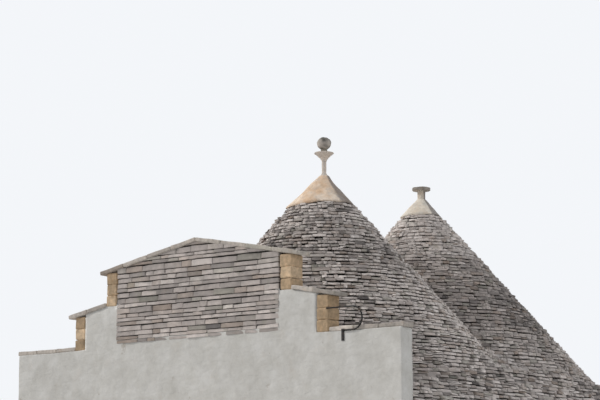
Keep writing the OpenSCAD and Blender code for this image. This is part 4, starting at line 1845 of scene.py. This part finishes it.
@dataclass
class Stage:
    """Floor, lamps, world and camera. The view is the photograph's."""

    focal_px: float = 1883.0
    photo_px: float = 600.0
    yaw: float = math.radians(37.64)
    pitch: float = math.radians(9.89)
    eye: Triple = (-29.786, -21.121, 0.232)
    floor_r: float = 26.0
    floor_color: Triple = (0.66, 0.655, 0.645)
    sky_color: Triple = (0.93, 0.96, 1.0)
    sky_strength: float = 0.66
    shown_color: Triple = (0.90, 0.92, 0.95)
    sun_color: Triple = (1.0, 0.97, 0.92)
    sun_strength: float = 2.65
    sun_size: float = 0.12
    sun_turn: float = math.radians(87.0)
    sun_height: float = math.radians(37.0)

    def look(self, turn: float, rise: float) -> Vector:
        """A direction, turned to the left of the view and raised."""
        level = Vector((math.cos(self.yaw + turn), math.sin(self.yaw + turn), 0.0))
        return level * math.cos(rise) + UP * math.sin(rise)

    def floor(self) -> None:
        """A plain pale floor that keeps the house's shadow."""
        bm = bmesh.new()
        bmesh.ops.create_circle(bm, cap_ends=True, segments=96, radius=self.floor_r)
        bmesh.ops.translate(bm, vec=(0.0, 0.0, -0.002), verts=bm.verts)
        mesh = to_mesh(bm, "floor")
        floor = bpy.data.objects.new("floor", mesh)
        bpy.context.scene.collection.objects.link(floor)
        graph = MaterialGraph("pale_floor")
        graph.feed(graph.shader.inputs["Base Color"], self.floor_color)
        graph.feed(graph.shader.inputs["Roughness"], 0.9)
        mesh.materials.append(graph.material)

    def world(self) -> None:
        """An even sky light, shown as a pale background to the camera and in reflections."""
        world = bpy.data.worlds.new("sky")
        bpy.context.scene.world = world
        world.use_nodes = True
        world.node_tree.nodes.clear()
        graph = Graph(world.node_tree)
        path = graph.add("ShaderNodeLightPath").outputs
        direct = graph.calc("MAXIMUM", path["Is Camera Ray"], path["Is Glossy Ray"])
        seen = graph.calc("MAXIMUM", direct, path["Is Transmission Ray"])
        light, shown = (graph.add("ShaderNodeBackground", {"Color": color, "Strength": strength}).outputs[0]
                        for color, strength in ((self.sky_color, self.sky_strength), (self.shown_color, 1.0)))
        both = graph.add("ShaderNodeMixShader", {0: seen, 1: light, 2: shown}).outputs[0]
        graph.add("ShaderNodeOutputWorld", {"Surface": both})

    def sun(self) -> None:
        """A soft key lamp from the left of the view."""
        lamp = bpy.data.lights.new("key", "SUN")
        lamp.energy, lamp.angle, lamp.color = self.sun_strength, self.sun_size, self.sun_color
        key = bpy.data.objects.new("key", lamp)
        key.rotation_euler = self.look(self.sun_turn, self.sun_height).to_track_quat("Z", "Y").to_euler()
        bpy.context.scene.collection.objects.link(key)

    def camera(self) -> None:
        """The camera, low in the street and turned up to the roofs."""
        lens = bpy.data.cameras.new("view")
        lens.sensor_width = 36.0
        lens.lens = self.focal_px * lens.sensor_width / self.photo_px
        lens.clip_end = 200.0
        camera = bpy.data.objects.new("view", lens)
        camera.location = self.eye
        camera.rotation_euler = (-self.look(0.0, self.pitch)).to_track_quat("Z", "Y").to_euler()
        bpy.context.scene.collection.objects.link(camera)
        bpy.context.scene.camera = camera

    def build(self) -> None:
        """Sets the stage."""
        self.floor()
        self.world()
        self.sun()
        self.camera()
        bpy.context.scene.view_settings.view_transform = "Standard"


def main() -> None:
    """Builds the house in order."""
    logging.basicConfig(level=logging.INFO, format="%(message)s")
    noise.seed_set(7)
    Stage().build()
    palette = Palette()
    palette.dress_nodes()
    yard = SlabYard(5)
    main_tones = ((3.0, 0.80), (4.0, 1.00), (4.5, 1.00), (5.0, 0.70), (5.4, 0.70), (5.8, 0.90))
    # The second cone's tones are lightest towards its top, over a dark band near 4.1 m: painted light and
    # shade.
    second_painted_light_tones = ((3.0, 0.76), (3.8, 0.62), (4.1, 0.34), (5.2, 0.44), (5.6, 0.84), (6.2, 1.15))
    ConeRoof(palette, yard, "main", -1, 11, main_tones, fill=0.73, spread=0.30, out=0.022, length=0.14,
             fuller=0.065).build()
    ConeRoof(palette, yard, "second", 1, 12, second_painted_light_tones, fill=0.83, spread=0.13, out=0.014,
             length=0.15).build()
    SkirtRoof(palette, yard).build()
    Eaves(palette).build()
    PlasterCap(palette, "main", -HOUSE.axis, droop=0.055, proud=0.0, lean=0.030, flare=0.050).build()
    PlasterCap(palette, "second", HOUSE.axis, droop=0.020, proud=-0.012, lean=0.014, flare=0.012).build()
    for part in (Pinnacles, Walls, Parapet, Doorway, Windows, Bracket):
        part(palette).build()
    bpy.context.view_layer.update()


if __name__ == "__main__":
    main()
